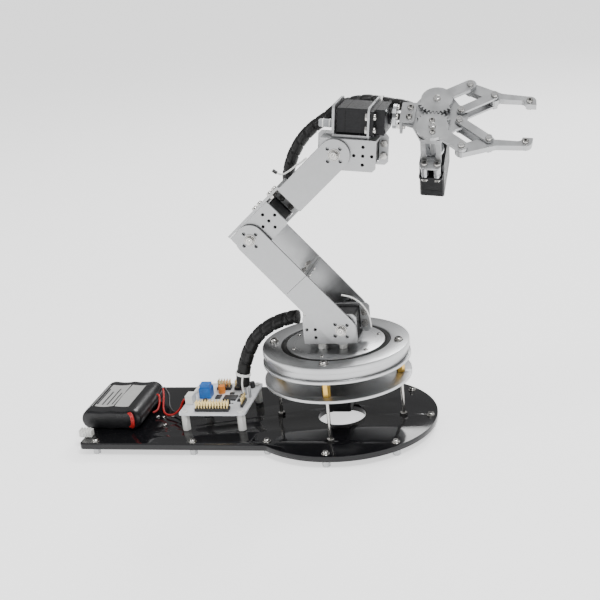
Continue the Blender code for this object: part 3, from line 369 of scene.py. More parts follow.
class Solids:
    """Collects closed shapes into one object, with a material for each."""

    def __init__(self, name):
        self.name, self.bm, self.slots = name, bmesh.new(), []

    def slot(self, material):
        if material not in self.slots:
            self.slots.append(material)
        return self.slots.index(material)

    def lathe(self, at, profile, material, segments=16, smooth=True, closed=False):
        """Turn (radius, height) points in mm round z; ends on the axis become caps."""
        index, rings = self.slot(material), []
        for radius, height in profile:
            if radius < 1e-6:
                rings.append([self.bm.verts.new(at @ Vector((0, 0, height * MM)))])
            else:
                rings.append([self.bm.verts.new(at @ Vector(
                    (radius * MM * math.cos(2 * math.pi * i / segments),
                     radius * MM * math.sin(2 * math.pi * i / segments), height * MM)))
                    for i in range(segments)])
        flip = at.determinant() < 0
        pairs = list(zip(rings, rings[1:])) + ([(rings[-1], rings[0])] if closed else [])
        for low, high in pairs:
            for i in range(segments):
                j = (i + 1) % segments
                if len(low) == 1 and len(high) == 1:
                    continue
                if len(low) == 1:
                    corners = (low[0], high[j], high[i])
                elif len(high) == 1:
                    corners = (low[i], low[j], high[0])
                else:
                    corners = (low[i], low[j], high[j], high[i])
                face = self.bm.faces.new(corners[::-1] if flip else corners)
                face.material_index, face.smooth = index, smooth

    def pan_head(self, at, radius=2.75, height=1.9, material="steel"):
        r, h = radius, height
        self.lathe(at, [(0, 0), (r, 0), (r, 0.45 * h), (0.93 * r, 0.75 * h), (0.72 * r, h),
                        (0.47 * r, h)], MAT[material], 16)
        # the socket's recess is painted shade
        self.lathe(at, [(0.47 * r, h), (0.45 * r, 0.55 * h), (0, 0.5 * h)], MAT["painted_recess_shade"], 6,
                   smooth=False)

    def hexagon(self, at, low, high, across, bore=0.0, material="steel", chamfer=0.25):
        r = across / math.sqrt(3)
        inner = [(bore, low)] if bore else [(0, low)]
        top = [(bore, high)] if bore else [(0, high)]
        self.lathe(at, inner + [(r - chamfer, low), (r, low + chamfer), (r, high - chamfer),
                                (r - chamfer, high)] + top, MAT[material], 6, smooth=False,
                   closed=bool(bore))

    def disc(self, at, low, high, radius, material, bore=0.0, segments=32, chamfer=0.2):
        inner = [(bore, low)] if bore else [(0, low)]
        top = [(bore, high)] if bore else [(0, high)]
        self.lathe(at, inner + [(radius - chamfer, low), (radius, low + chamfer),
                                (radius, high - chamfer), (radius - chamfer, high)] + top,
                   MAT[material], segments, closed=bool(bore))

    def box(self, at, x, y, z, material, bevel=0.0):
        index = self.slot(MAT[material])
        made = bmesh.ops.create_cube(self.bm, size=1.0)["verts"]
        middle = Vector(((x[0] + x[1]) / 2, (y[0] + y[1]) / 2, (z[0] + z[1]) / 2)) * MM
        for vert in made:
            vert.co = Vector((vert.co.x * (x[1] - x[0]), vert.co.y * (y[1] - y[0]),
                              vert.co.z * (z[1] - z[0]))) * MM + middle
        faces = {face for vert in made for face in vert.link_faces}
        if bevel:
            edges = {edge for vert in made for edge in vert.link_edges}
            result = bmesh.ops.bevel(self.bm, geom=list(edges), offset=bevel * MM, segments=2,
                                     affect="EDGES", profile=0.5)
            made = list({vert for face in result["faces"] for vert in face.verts} | {
                v for v in made if v.is_valid})
            faces = {face for vert in made for face in vert.link_faces}
        bmesh.ops.transform(self.bm, matrix=at, verts=made)
        for face in faces:
            face.material_index = index

    def done(self, body, replaces=()):
        """Make the object, riding on the body, in place of the CAD nodes it replaces."""
        bmesh.ops.recalc_face_normals(self.bm, faces=self.bm.faces)
        mesh = bpy.data.meshes.new(self.name)
        self.bm.to_mesh(mesh)
        self.bm.free()
        for material in self.slots:
            mesh.materials.append(material)
        mesh.set_sharp_from_angle(angle=math.radians(38))
        obj = linked(self.name, mesh)
        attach(obj, body)
        if replaces:
            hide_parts(*replaces)
        return obj


# ---- the fixed base ----
def circle(cx, cy, radius, segments):
    return [(cx + radius * math.cos(2 * math.pi * i / segments),
             cy + radius * math.sin(2 * math.pi * i / segments)) for i in range(segments)]


def arc(cx, cy, radius, first, last, steps):
    angles = [math.radians(first + (last - first) * i / steps) for i in range(steps + 1)]
    return [(cx + radius * math.cos(t), cy + radius * math.sin(t)) for t in angles]


def flat_plate(name, outline, low, high, holes, material, bevel=0.3):
    """A horizontal plate with round holes and softened edges, in the base's frame."""
    curve = bpy.data.curves.new(name, "CURVE")
    curve.dimensions, curve.fill_mode = "2D", "BOTH"
    curve.extrude = ((high - low) / 2 - bevel) * MM
    curve.bevel_depth, curve.bevel_resolution = bevel * MM, 1
    curve.offset = -bevel * MM
    for loop in (outline, *holes):
        spline = curve.splines.new("POLY")
        spline.points.add(len(loop) - 1)
        for point, (u, v) in zip(spline.points, loop):
            point.co = (u * MM, v * MM, 0, 1)
        spline.use_cyclic_u = True
    holder = linked(name, curve)
    mesh = bpy.data.meshes.new_from_object(
        holder.evaluated_get(bpy.context.evaluated_depsgraph_get()))
    bpy.data.objects.remove(holder, do_unlink=True)
    bm = bmesh.new()
    bm.from_mesh(mesh)
    bmesh.ops.remove_doubles(bm, verts=bm.verts, dist=1e-6)
    bmesh.ops.recalc_face_normals(bm, faces=bm.faces)
    bm.to_mesh(mesh)
    bm.free()
    mesh.transform(BASE @ place(0, 0, (low + high) / 2))
    mesh.materials.clear()
    mesh.materials.append(MAT[material])
    mesh.set_sharp_from_angle(angle=math.radians(40))
    return linked(name, mesh)


def make_base_plate():
    """The acrylic plate, its hexagonal feet, and the screws into them."""
    join = math.degrees(math.asin(TAIL_HALF_WIDTH / PLATE_RADIUS))
    outline = arc(0, 0, PLATE_RADIUS, -180 + join, 180 - join, 120)
    corner = (TAIL_END + TAIL_CORNER, TAIL_HALF_WIDTH - TAIL_CORNER)
    outline += arc(*corner, TAIL_CORNER, 90, 180, 6)
    outline += arc(corner[0], -corner[1], TAIL_CORNER, 180, 270, 6)
    holes = [circle(0, 0, HUB_HOLE_RADIUS, 64)] + [circle(x, y, 1.7, 12) for x, y in COLUMN_SPOTS]
    plate = flat_plate("acrylic_plate", outline, FOOT_HEIGHT, PLATE_TOP, holes, "acrylic", 0.25)
    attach(plate, "base")
    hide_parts("base_plate")
    feet = Solids("plate_feet")
    for spot in FOOT_SPOTS:
        at = BASE @ place(*spot, 0)
        feet.hexagon(at, 0.0, FOOT_HEIGHT - 0.05, 6.0, material="aluminium")
        feet.disc(at, PLATE_TOP + 0.02, PLATE_TOP + 0.5, 3.5, "steel", bore=1.4)
        feet.pan_head(at @ place(0, 0, PLATE_TOP + 0.5), 2.7, 2.0)
    for x, y in ((-154.5, -23.0), (-166.8, -6.0), (-160.7, -6.0), (-152.4, -5.5)):
        feet.pan_head(BASE @ place(x, y, PLATE_TOP + 0.02), 1.9, 1.2)
    feet.done("base")


def make_turntable():
    """The turned ring, cage, rotor and discs, the bolts through them and the rotor's screws."""
    ring = Solids("bearing_ring_turned")
    low, groove, high = UPPER_DISC_Z + DISC_THICK + 0.3, PLATE_TOP + 62.2, RING_TOP
    bore, outer = RING_BORE, RING_RADIUS
    ring.lathe(BASE, [(bore + 0.6, high), (outer - 1.1, high), (outer - 0.3, high - 0.3),
                      (outer, high - 1.1), (outer, groove + 0.8), (outer - 0.3, groove + 0.25),
                      (outer - 1.9, groove), (outer - 2.0, groove - 0.3), (outer - 2.0, low), (bore, low),
                      (bore, high - 0.6)], MAT["turned"], 144, closed=True)
    ring.done("base", ["bearing_ring"])
    # the cage is a near-black band that fills the bore, as painted shade there
    cage = Solids("bearing_cage_detail")
    cage.lathe(BASE, [(42.2, RING_TOP - 5), (46.3, RING_TOP - 5), (46.3, RING_TOP - 0.9),
                      (45.6, RING_TOP - 0.7), (42.9, RING_TOP - 0.7), (42.2, RING_TOP - 0.9)],
               MAT["cage"], 120, closed=True)
    cage.done("base", ["bearing_cage"])
    rotor = Solids("rotor_turned")
    top, radius = RING_TOP + 0.2, ROTOR_RADIUS
    rotor.lathe(BASE, [(0, top), (radius - 0.8, top), (radius - 0.2, top - 0.3), (radius, top - 0.9),
                       (radius, top - 5.2), (16, top - 5.2), (16, LOWER_DISC_Z + 17.5),
                       (0, LOWER_DISC_Z + 17.5)], MAT["turned"], 128)
    rotor.done("turntable", ["rotor"])
    for name, z, hole in (("upper_disc", UPPER_DISC_Z, circle(0, 0, 20.0, 48)),
                          ("lower_disc", LOWER_DISC_Z,
                           [(-10.6, -10.7), (10.6, -10.7), (10.6, 31.0), (-10.6, 31.0)])):
        holes = [hole] + [circle(x, y, 1.7, 12) for x, y in COLUMN_SPOTS]
        disc = flat_plate(name + "_plate", circle(0, 0, DISC_RADIUS, 144), z, z + DISC_THICK, holes,
                          "turned", 0.2)
        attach(disc, "base")
        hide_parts(name)
    small = Solids("turntable_small_parts")
    for x, y in COLUMN_SPOTS:
        at = BASE @ place(x, y, 0)
        between = LOWER_DISC_Z + DISC_THICK + 0.05
        small.hexagon(at, between, UPPER_DISC_Z - 0.05, 6.2, material="brass")
        small.disc(at, RING_TOP + 0.05, RING_TOP + 0.5, 4.0, "steel", bore=1.4)
        small.pan_head(at @ place(0, 0, RING_TOP + 0.4), 3.4, 2.35)
        small.hexagon(at, PLATE_TOP + 0.1, PLATE_TOP + 2.7, 5.7, bore=1.35)
        small.hexagon(at, LOWER_DISC_Z - 2.6, LOWER_DISC_Z - 0.1, 5.7, bore=1.35)
        small.hexagon(at, FOOT_HEIGHT - 2.6, FOOT_HEIGHT - 0.1, 5.7, bore=1.35)
        small.disc(at, FOOT_HEIGHT - 3.2, LOWER_DISC_Z + 1, 1.45, "steel", segments=16)
        small.disc(at, UPPER_DISC_Z, RING_TOP + 1, 1.45, "steel", segments=16)
    for y in EAR_HOLE_X:
        for d in (-SQUARE, SQUARE):
            small.pan_head(BASE @ place(d, y, LOWER_DISC_Z + DISC_THICK + 0.02), 2.6, 1.7)
            small.hexagon(BASE @ place(d, y, 0), LOWER_DISC_Z - 5.2, LOWER_DISC_Z - 2.9, 5.4)
    small.done("base", ["column_post_" + side for side in ("front", "left", "rear", "right")])
    turning = Solids("rotor_screws")
    for t in (22, 96, 158, 211, 263, 322):
        spot = [ROTOR_SCREW_RADIUS * turn(math.radians(t)) for turn in (math.cos, math.sin)]
        turning.pan_head(BASE @ place(*spot, RING_TOP + 0.2), 1.7, 0.9)
    turning.done("turntable")


# ---- servo brackets and servos ----
def servo_fixings(solids, at, pivot_pin=True):
    """Ear screws, nuts behind the servo wall, and the pivot pin's washer."""
    for x in EAR_HOLE_X:
        for z in (-SQUARE, SQUARE):
            solids.pan_head(at @ up_axis("y", (x, z), SERVO_WALL + EAR_THICK + 0.02), 2.6, 1.8)
            nut_at = at @ up_axis("y", (x, z), SERVO_WALL - SHEET - 2.3)
            solids.hexagon(nut_at, 0, 2.25, 5.4)
    if pivot_pin:
        end = at @ up_axis("y", (0, 0), -U_INNER - SHEET - 1.4, -1)
        solids.disc(end, -0.28, 0.0, 3.9, "steel", bore=1.4)
        solids.hexagon(end, 0.0, 2.45, 5.7, bore=1.4)
        solids.lathe(end, [(0, 3.35), (0.9, 3.35), (1.4, 2.9), (1.4, 0.5)], MAT["steel"], 10)


def servo_details(name, at, body, node):
    """Case seams, corner screws and screw recesses, and a raised ring round the shaft on a servo's case."""
    detail = Solids(name)
    bottom, top = SERVO_WALL - 27.5, SERVO_WALL - 27.5 + 37.8
    x0, x1 = -10.1, 30.4
    # seam lines and top screw recesses are in the near-black shadow plastic: painted shade in the gaps
    for y in (bottom + 6.8, top - 7.2):
        for z in (-10.0, 10.0):
            detail.box(at, (x0 + 1.2, x1 - 1.2), (y - 0.16, y + 0.16), (z - 0.06, z + 0.06), "cage")
        for x in (x0, x1):
            detail.box(at, (x - 0.06, x + 0.06), (y - 0.16, y + 0.16), (-9.0, 9.0), "cage")
    for x in (x0 + 3.0, x1 - 3.0):
        for z in (-7.2, 7.2):
            detail.pan_head(at @ up_axis("y", (x, z), bottom - 0.02, -1), 1.7, 0.3)
            detail.lathe(at @ up_axis("y", (x, z), top), [(0, 0), (1.9, 0), (1.9, 0.35), (1.2, 0.35),
                                                          (1.1, 0.1), (0, 0.1)], MAT["cage"], 12)
    detail.lathe(at @ up_axis("y", (0, 0), top), [(6.7, 0), (6.7, 0.9), (6.3, 1.3), (3.0, 1.3)],
                 MAT["servo"], 28)
    detail.done(body)
    NODES[node].data.materials[0] = MAT["servo"]


def u_fixings(solids, at):
    """Horn screws on the far arm and the bearing's rings on the near one."""
    for x, z in ((CROSS, 0), (0, CROSS), (-CROSS, 0), (0, -CROSS)):
        solids.pan_head(at @ up_axis("y", (x, z), U_INNER + SHEET + 0.02), 1.95, 1.3)
    # the dark disc in the horn's centre hole and the bearing's inner lip are painted shade
    solids.disc(at @ up_axis("y", (0, 0), U_INNER - 0.3), 0.0, 2.0, 3.2, "painted_recess_shade", segments=16)
    solids.pan_head(at @ up_axis("y", (0, 0), U_INNER + 0.6), 2.6, 1.3)
    near = at @ up_axis("y", (0, 0), -U_INNER - SHEET, -1)
    solids.lathe(near, [(4.9, 0.02), (4.9, 0.5), (4.7, 0.75), (4.15, 0.75), (4.1, 0.5)],
                 MAT["steel"], 32)
    solids.lathe(near, [(4.1, 0.5), (3.9, 1.3), (2.9, 1.35)], MAT["painted_recess_shade"], 32)


def web_bolts(solids, at, face, stack):
    """Four bolts through two webs that lie back to back."""
    for y in (-9, 9):
        for z in (-7, 7):
            solids.pan_head(at @ up_axis("x", (y, z), face - 0.02, -1), 2.6, 1.8)
            solids.hexagon(at @ up_axis("x", (y, z), face + stack), 0.02, 2.4, 5.4, bore=1.3)
            solids.disc(at @ up_axis("x", (y, z), face - 0.5), 0, stack + 3.6, 1.4, "steel",
                        segments=10)


def make_arm_fixings():
    """Screws, nuts and bearing rings of the brackets, body by body, and the servos' details."""
    turntable = Solids("shoulder_fixings")
    servo_fixings(turntable, SHOULDER_SERVO)
    turntable.done("turntable")
    lower = Solids("lower_arm_fixings")
    for at in (LOWER_ARM, LOWER_ARM_BACK):
        u_fixings(lower, at)
    web_bolts(lower, LOWER_ARM, LOWER_ARM_LENGTH / 2 - 0.15 - SHEET, 2 * SHEET + 0.3)
    lower.done("lower_arm")
    fore = Solids("forearm_fixings")
    servo_fixings(fore, FOREARM)
    u_fixings(fore, FOREARM_BACK)
    top = 12.8 + SHEET - 0.05
    for x in (19, 37):
        for y in (-18, -2):
            fore.pan_head(FOREARM @ up_axis("z", (x, y), top), 2.6, 1.9)
            fore.hexagon(FOREARM @ up_axis("z", (x, y), 0), 8.0 if x < 20 else 10.2,
                         10.4 if x < 20 else 12.7, 5.4)
    web = FOREARM_LENGTH - 52.1
    for z in (-7, 7):
        fore.pan_head(FOREARM @ up_axis("x", (-9, z), web - 0.3 - SHEET - 0.02, -1), 2.6, 1.8)
        fore.hexagon(FOREARM @ up_axis("x", (-9, z), web + SHEET), 0.02, 2.4, 5.4, bore=1.3)
    fore.done("forearm")
    wrist = Solids("wrist_fixings")
    servo_fixings(wrist, WRIST)
    servo_fixings(wrist, ROLL_SERVO, pivot_pin=False)
    wrist.done("wrist")
    for name, at, body in (("shoulder_servo", SHOULDER_SERVO, "turntable"),
                           ("elbow_servo", FOREARM, "forearm"), ("pitch_servo", WRIST, "wrist"),
                           ("roll_servo", ROLL_SERVO, "wrist"),
                           ("claw_servo", CLAW @ upright(GEAR_A, -GEAR_S, -46.0), "claw"),
                           ("base_servo", BASE @ upright(0, 0, LOWER_DISC_Z - 8.8), "base")):
        servo_details(name + "_details", at, body, name)


def upright(x, y, z):
    return Matrix(((0, 0, 1, x * MM), (1, 0, 0, y * MM), (0, 1, 0, z * MM), (0, 0, 0, 1)))


# ---- the claw ----
CRANK_LENGTH, CRANK_ANGLE = 30.5, 36.4
LINK_A, LINK_S = 93.3, 5.42
DRIVE_POST_RADIUS = 6.2


def make_claw_fixings():
    """Screws, nuts and spacers of the claw base, then those of each crank, link pair and jaw."""
    claw = Solids("claw_fixings")
    for s in (-SQUARE, SQUARE):
        claw.pan_head(CLAW @ up_axis("z", (53.5, s), 2.32), 2.7, 1.9)
        claw.hexagon(CLAW @ up_axis("z", (53.5, s), 0), -4.6, -2.1, 5.4)
        claw.pan_head(CLAW @ up_axis("x", (s, -8.6), 48.32), 2.6, 1.9)
        claw.hexagon(CLAW @ up_axis("x", (s, -8.6), 0), 43.9, 46.2, 5.2)
        claw.pan_head(CLAW @ up_axis("x", (s, 1.4), 43.05), 2.3, 1.9)
    for ear in (EAR_HOLE_X[0] - GEAR_S, EAR_HOLE_X[1] - GEAR_S):
        for d in (-SQUARE, SQUARE):
            spot = (GEAR_A + d, ear)
            claw.pan_head(CLAW @ up_axis("z", spot, -23.98), 2.7, 1.9)
            claw.hexagon(CLAW @ up_axis("z", spot, 0), -42.4, -40.02, 5.4)
            claw.lathe(CLAW @ up_axis("z", spot, 0), [(3.05, -37.2), (3.05, -34.5), (2.6, -34.2),
                                                      (2.6, -29.0), (3.05, -28.7), (3.05, -26.2)],
                       MAT["small_turned"], 20)
    claw.done("claw")
    swing = Matrix.Rotation(math.radians(CRANK_ANGLE), 4, "Z")
    gear = place(GEAR_A, GEAR_S, 0)
    tip = gear @ swing @ place(CRANK_LENGTH, 0, 0) @ swing.inverted()
    link = place(LINK_A, LINK_S, 0)
    u, v = LINK_A - GEAR_A, LINK_S - GEAR_S
    for name, side in (("upper", Matrix.Identity(4)), ("lower", MIRROR)):
        hub, outer = CLAW @ side @ gear, CLAW @ side @ tip
        crank = Solids(name + "_crank_fixings")
        crank.pan_head(hub @ place(0, 0, 3.85), 3.0, 1.85)
        if name == "lower":
            for t in (45, 225):
                post = [DRIVE_POST_RADIUS * turn(math.radians(t)) for turn in (math.cos, math.sin)]
                crank.pan_head(hub @ swing @ place(*post, 3.85), 2.4, 1.7)
        crank.done(name + "_crank_body")
        bars = Solids(name + "_link_fixings")
        bars.pan_head(CLAW @ side @ link @ place(0, 0, 2.95), 2.85, 1.95)
        bars.done(name + "_link")
        finger = Solids(name + "_jaw_fixings")
        finger.pan_head(outer @ place(0, 0, 4.1), 2.85, 1.95)
        finger.pan_head(outer @ place(u, v, 3.2), 2.85, 1.95)
        finger.pan_head(outer @ place(48.0, -11.4, 0.45), 2.6, 1.8)
        finger.hexagon(outer @ place(48.0, -11.4, 0), -7.2, -4.85, 5.4)
        finger.done(name + "_jaw_body")


# ---- battery, board and connectors ----
BATTERY_WIDTH, BATTERY_END = 55.5, 34.0      # three cells across, and half of their length
CELL_RADIUS = BATTERY_WIDTH / 6
OUTER_CELL = BATTERY_WIDTH / 2 - CELL_RADIUS
BATTERY_CENTRE = Vector((-227.0 + BATTERY_WIDTH / 2, 0, PLATE_TOP + 0.3 + CELL_RADIUS))
FILM_SAG = 0.9
END_TAPER = [(0, 0.55), (0.2, 0.82), (0.9, 0.94), (2.4, 0.985), (6.0, 1.0)]  # from the end, size
LABEL_GAP, BAR_GAP, BAR_WIDTH = 0.04, 0.14, 1.3
LABEL_BARS = (3, 14, 9, 16, 6)               # where the label's plain bars end


def film_height(x):
    """The film's height above the cells' axes: round outside, bridging the valleys between cells."""
    past = abs(x) - OUTER_CELL
    if past > 0:
        return math.sqrt(max(0.0, CELL_RADIUS ** 2 - past ** 2))
    return CELL_RADIUS - FILM_SAG * abs(math.sin(math.pi * (x + OUTER_CELL) / (2 * CELL_RADIUS)))


def on_battery(x, y, z):
    return BASE @ ((BATTERY_CENTRE + Vector((x, y, z))) * MM)


def make_battery():
    """Three cells under shrink wrap, with pinched ends and a plain paper label."""
    profile = []
    for side in (1, -1):
        for i in range(21):
            t = math.radians(-90 + 9 * i)
            profile.append((side * (OUTER_CELL + CELL_RADIUS * math.cos(t)),
                            side * CELL_RADIUS * math.sin(t)))
        profile += [(x, side * film_height(x)) for x in (side * OUTER_CELL * (1 - i / 7)
                                                         for i in range(1, 14))]
    pack = Solids("battery_wrap")
    index = pack.slot(MAT["battery"])
    stations = [(d - BATTERY_END, size) for d, size in END_TAPER] + [(0, 0.997)]
    stations += [(BATTERY_END - d, size) for d, size in END_TAPER[::-1]]
    rows = [[pack.bm.verts.new(on_battery(x * (0.55 + 0.45 * size), y, z * size)) for x, z in profile]
            for y, size in stations]
    for low, high in zip(rows, rows[1:]):
        for i in range(len(profile)):
            j = (i + 1) % len(profile)
            face = pack.bm.faces.new((low[i], low[j], high[j], high[i]))
            face.smooth, face.material_index = True, index
    for row in (rows[0], rows[-1]):
        pack.bm.faces.new(row).material_index = index
    pack.done("base", ["battery_pack"])
    label = Solids("battery_label")
    paper, ink = label.slot(MAT["label"]), label.slot(MAT["chip"])
    grid = [[label.bm.verts.new(on_battery(x, y, film_height(x) + LABEL_GAP)) for y in (-24, 24)]
            for x in (14 - 40 * i / 14 for i in range(15))]
    for low, high in zip(grid, grid[1:]):
        face = label.bm.faces.new((low[0], low[1], high[1], high[0]))
        face.material_index, face.smooth = paper, True
    for k, last in enumerate(LABEL_BARS):
        x = -22 + 4.6 * k
        corners = ((x, -20), (x + BAR_WIDTH, -20), (x + BAR_WIDTH, last), (x, last))
        label.bm.faces.new([label.bm.verts.new(on_battery(u, v, film_height(u) + BAR_GAP))
                            for u, v in corners]).material_index = ink
    label.done("base")
    NODES["balance_connector"].data.materials[0] = MAT["nylon"]
    NODES["power_socket"].data.materials[0] = MAT["nylon"]


PIN_PITCH = 2.54
HEADER_BLOCKS = [("near", (-121.0, -31.0), 12, 3), ("left", (-114.0, 16.0), 5, 3),
                 ("right", (-98.0, 16.0), 4, 3), ("end", (-82.5, -22.0), 1, 6)]
BOARD_STANDOFFS = [(-131.0, -32.0), (-81.2, -32.0), (-131.0, 27.2), (-81.2, 27.2)]


def make_board():
    """Pins and shells of the headers, the board's parts and posts, and the terminal's screws."""
    low = BOARD_TOP + 0.3
    for name, (x, y), columns, rows in HEADER_BLOCKS:
        header = Solids("header_" + name + "_pins")
        for i in range(columns):
            for j in range(rows):
                cx, cy = x + PIN_PITCH * i, y + PIN_PITCH * j
                header.box(BASE, (cx - 1.22, cx + 1.22), (cy - 1.22, cy + 1.22), (low, low + 2.5),
                           "header", 0.22)
                header.box(BASE, (cx - 0.32, cx + 0.32), (cy - 0.32, cy + 0.32),
                           (low + 2.3, BOARD_TOP + 9.0), "gold")
        header.done("base", ["pin_header_" + name])
    parts = Solids("board_parts")
    z = BOARD_TOP
    for x, y in BOARD_STANDOFFS:
        at = BASE @ place(x, y, 0)
        parts.hexagon(at, PLATE_TOP + 0.1, BOARD_TOP - 1.65, 6.4, material="nylon")
        parts.pan_head(at @ place(0, 0, BOARD_TOP + 0.02), 2.9, 1.7, "nylon")
    for x, y, h in (((-104, -92), (-8, 2), 1.4), ((-112, -107), (-4, 3), 1.2), ((-90, -86), (-10, -6), 1.5),
                    ((-101, -97), (6, 9), 1.0)):
        parts.box(BASE, x, y, (z + 0.1, z + h), "chip", 0.15)
        for k in range(6):
            t = x[0] + (k + 0.5) * (x[1] - x[0]) / 6
            for side, far in ((y[0], -0.9), (y[1], 0.9)):
                parts.box(BASE, (t - 0.2, t + 0.2), tuple(sorted((side, side + far))),
                          (z + 0.02, z + 0.35), "steel")
    parts.lathe(BASE @ place(-109.0, 9.5, z), [(0, 0), (3.1, 0), (3.2, 0.5), (3.2, 6.6), (3.0, 7.0),
                                               (0, 7.05)], MAT["orange"], 24)
    parts.box(BASE, (-126.0, -119.5), (10.5, 16.0), (z + 0.05, z + 6.0), "orange", 0.4)
    parts.lathe(BASE @ place(-88.0, 8.0, z), [(0, 0), (2.4, 0), (2.5, 0.4), (2.5, 5.0), (2.3, 5.3),
                                              (0, 5.35)], MAT["small_turned"], 24)
    parts.box(BASE, (-90.0, -84.0), (-3.0, 3.0), (z + 0.05, z + 2.0), "steel", 0.2)
    for k in range(7):
        parts.box(BASE, (-112.5 + 3.1 * k, -111.0 + 3.1 * k), (-14.5, -13.7), (z + 0.02, z + 0.55),
                  "chip")
    for x, y, r, h in ((-117.5, -14.0, 2.0, 4.6), (-84.0, 22.0, 2.3, 5.4), (-96.0, -14.5, 1.5, 3.8)):
        parts.lathe(BASE @ place(x, y, z), [(0, 0), (r, 0), (r, h - 0.3), (r - 0.3, h), (0, h + 0.02)],
                    MAT["chip"], 20)
    parts.box(BASE, (-134.0, -131.5), (6.0, 18.0), (z + 0.05, z + 3.2), "nylon", 0.3)
    parts.done("base")
    terminal = Solids("terminal_details")
    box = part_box("terminal_block")
    (lx, ly, lz), (hx, hy, hz) = [(c[0] / MM - YAW_X / MM, c[1] / MM, c[2] / MM) for c in box]
    for k in (0.28, 0.72):
        spot_y = ly + (hy - ly) * k
        terminal.pan_head(BASE @ place((lx + hx) / 2, spot_y, hz - 0.28), 1.5, 0.26)
        # the dark patches on the terminal's side are painted shade in its wire openings
        terminal.box(BASE, (lx - 0.08, lx + 0.3), (spot_y - 1.6, spot_y + 1.6), (lz + 1.5, lz + 5.5),
                     "cage")
    terminal.done("base")


# ---- cables ----
def smooth_route(points, steps):
    """Catmull-Rom curve through the route's points, as the CAD draws it."""
    pts = [Vector(p) for p in points]
    ends = [pts[0] * 2 - pts[1]] + pts + [pts[-1] * 2 - pts[-2]]
    route = []
    for p0, p1, p2, p3 in zip(ends, ends[1:], ends[2:], ends[3:]):
        for i in range(steps):
            t = i / steps
            route.append(0.5 * (2 * p1 + (p2 - p0) * t + (2 * p0 - 5 * p1 + 4 * p2 - p3) * t * t
                                + (3 * p1 - p0 - 3 * p2 + p3) * t ** 3))
    return route + [pts[-1]]


def along(route, spacing):
    """Resample a route at even steps, with a frame carried along it: (point, side, up, length)."""
    lengths = [0.0]
    for a, b in zip(route, route[1:]):
        lengths.append(lengths[-1] + (b - a).length)
    total = lengths[-1]
    count = max(2, int(total / spacing))
    points, k = [], 0
    for i in range(count + 1):
        s = total * i / count
        while k < len(lengths) - 2 and lengths[k + 1] < s:
            k += 1
        t = (s - lengths[k]) / max(1e-9, lengths[k + 1] - lengths[k])
        points.append((route[k].lerp(route[k + 1], t), s))
    frames, side = [], None
    for i, (point, s) in enumerate(points):
        ahead = points[min(i + 1, count)][0] - points[max(i - 1, 0)][0]
        ahead.normalize()
        if side is None:
            side = ahead.cross(Vector((0.3, 0.2, 1))).normalized()
        side = (side - ahead * side.dot(ahead)).normalized()
        frames.append((point, side, ahead.cross(side), s))
    return frames


def wrapped_tube(name, route, radius, wrap, material):
    """A cable bundle in spiral wrap: each turn of the band stands proud of the gap beside it."""
    frames = along(route, 0.9 * MM if wrap else 1.5 * MM)
    sides = 32 if wrap else 12
    bm = bmesh.new()
    rings = []
    for point, side, up, s in frames:
        ring = []
        for i in range(sides):
            t = 2 * math.pi * i / sides
            r = radius
            if wrap:
                turn = (s / (wrap * MM) + t / (2 * math.pi)) % 1.0
                gap = max(0.0, 1 - abs(turn - 0.5) / 0.11)
                r -= 0.95 * MM * min(1.0, gap * 1.6)
                edge = abs(turn - 0.5)
                r -= 0.12 * MM * min(1.0, max(0.0, (0.5 - edge)) * 2) if edge > 0.2 else 0
                r += 0.10 * MM * noise.noise((point + side * t * 0.01) * 160)
            ring.append(bm.verts.new(point + (side * math.cos(t) + up * math.sin(t)) * r))
        rings.append(ring)
    for low, high in zip(rings, rings[1:]):
        for i in range(sides):
            j = (i + 1) % sides
            bm.faces.new((low[i], low[j], high[j], high[i])).smooth = True
    for ring in (rings[0], rings[-1]):
        bm.faces.new(ring)
    bmesh.ops.recalc_face_normals(bm, faces=bm.faces)
    mesh = bpy.data.meshes.new(name)
    bm.to_mesh(mesh)
    bm.free()
    mesh.materials.append(MAT[material])
    return linked(name, mesh), [point for point, _, _, _ in frames]


BASE_LOOM = [(-85, -3, 40), (-84, -2.6, 50), (-81, -2, 61), (-76.5, -0.8, 72), (-70.4, 0.4, 82),
             (-61.8, 1.4, 90), (-52, 2, 95.5), (-45, 2, 98.2), (-39, 1.7, 100)]
SHOULDER_LOOM = [(-38, 1.6, 100.3), (-35.5, 1.2, 100.9), (-33, 0.8, 101.3), (-30.6, 0.4, 101.5)]
BATTERY_LEADS = [[(-171.0, 28.0, 24.0), (-167.5, 18.0, 21.0), (-164.0, 4.0, 14.6),
                  (-158.0, -6.0, 13.6), (-150.0, -9.0, 15.0), (-143.0, -10.0, 21.0),
                  (-139.0, -11.5, 28.5), (-136.3, -12.5, 31.5)],
                 [(-171.0, 31.0, 24.0), (-165.0, 24.0, 20.0), (-160.0, 10.0, 14.6),
                  (-153.5, 0.0, 13.6), (-147.0, -4.0, 16.0), (-141.0, -6.0, 22.0),
                  (-139.0, -8.0, 28.5), (-136.3, -9.0, 31.5)]]
WRIST_LOOM = [(25, 37, -9), (33, 36.6, 3), (41, 35.7, 13.5), (53, 34.8, 21), (66, 33.8, 25.6),
              (78, 32.8, 27.4), (89, 32, 27), (99, 31.8, 25.2), (108, 32.2, 23.8), (116.0, 32.9, 23.3)]
CLAW_LOOM = [(-4.4, 33.2, 28.6), (6, 35.5, 31.5), (16.4, 36.9, 32.8), (26.4, 36.9, 32.0),
             (37, 35.6, 31.2), (45, 33, 31.0), (51.5, 31.3, 29.4), (56.5, 30.2, 25.8)]


def placed_route(points, at, steps=8):
    return [at @ (p * MM) for p in smooth_route(points, steps)]


def band(at, first, last):
    """Where a blend starts and ends, from two points in mm in a body's frame."""
    return at @ (Vector(first) * MM), at @ (Vector(last) * MM)


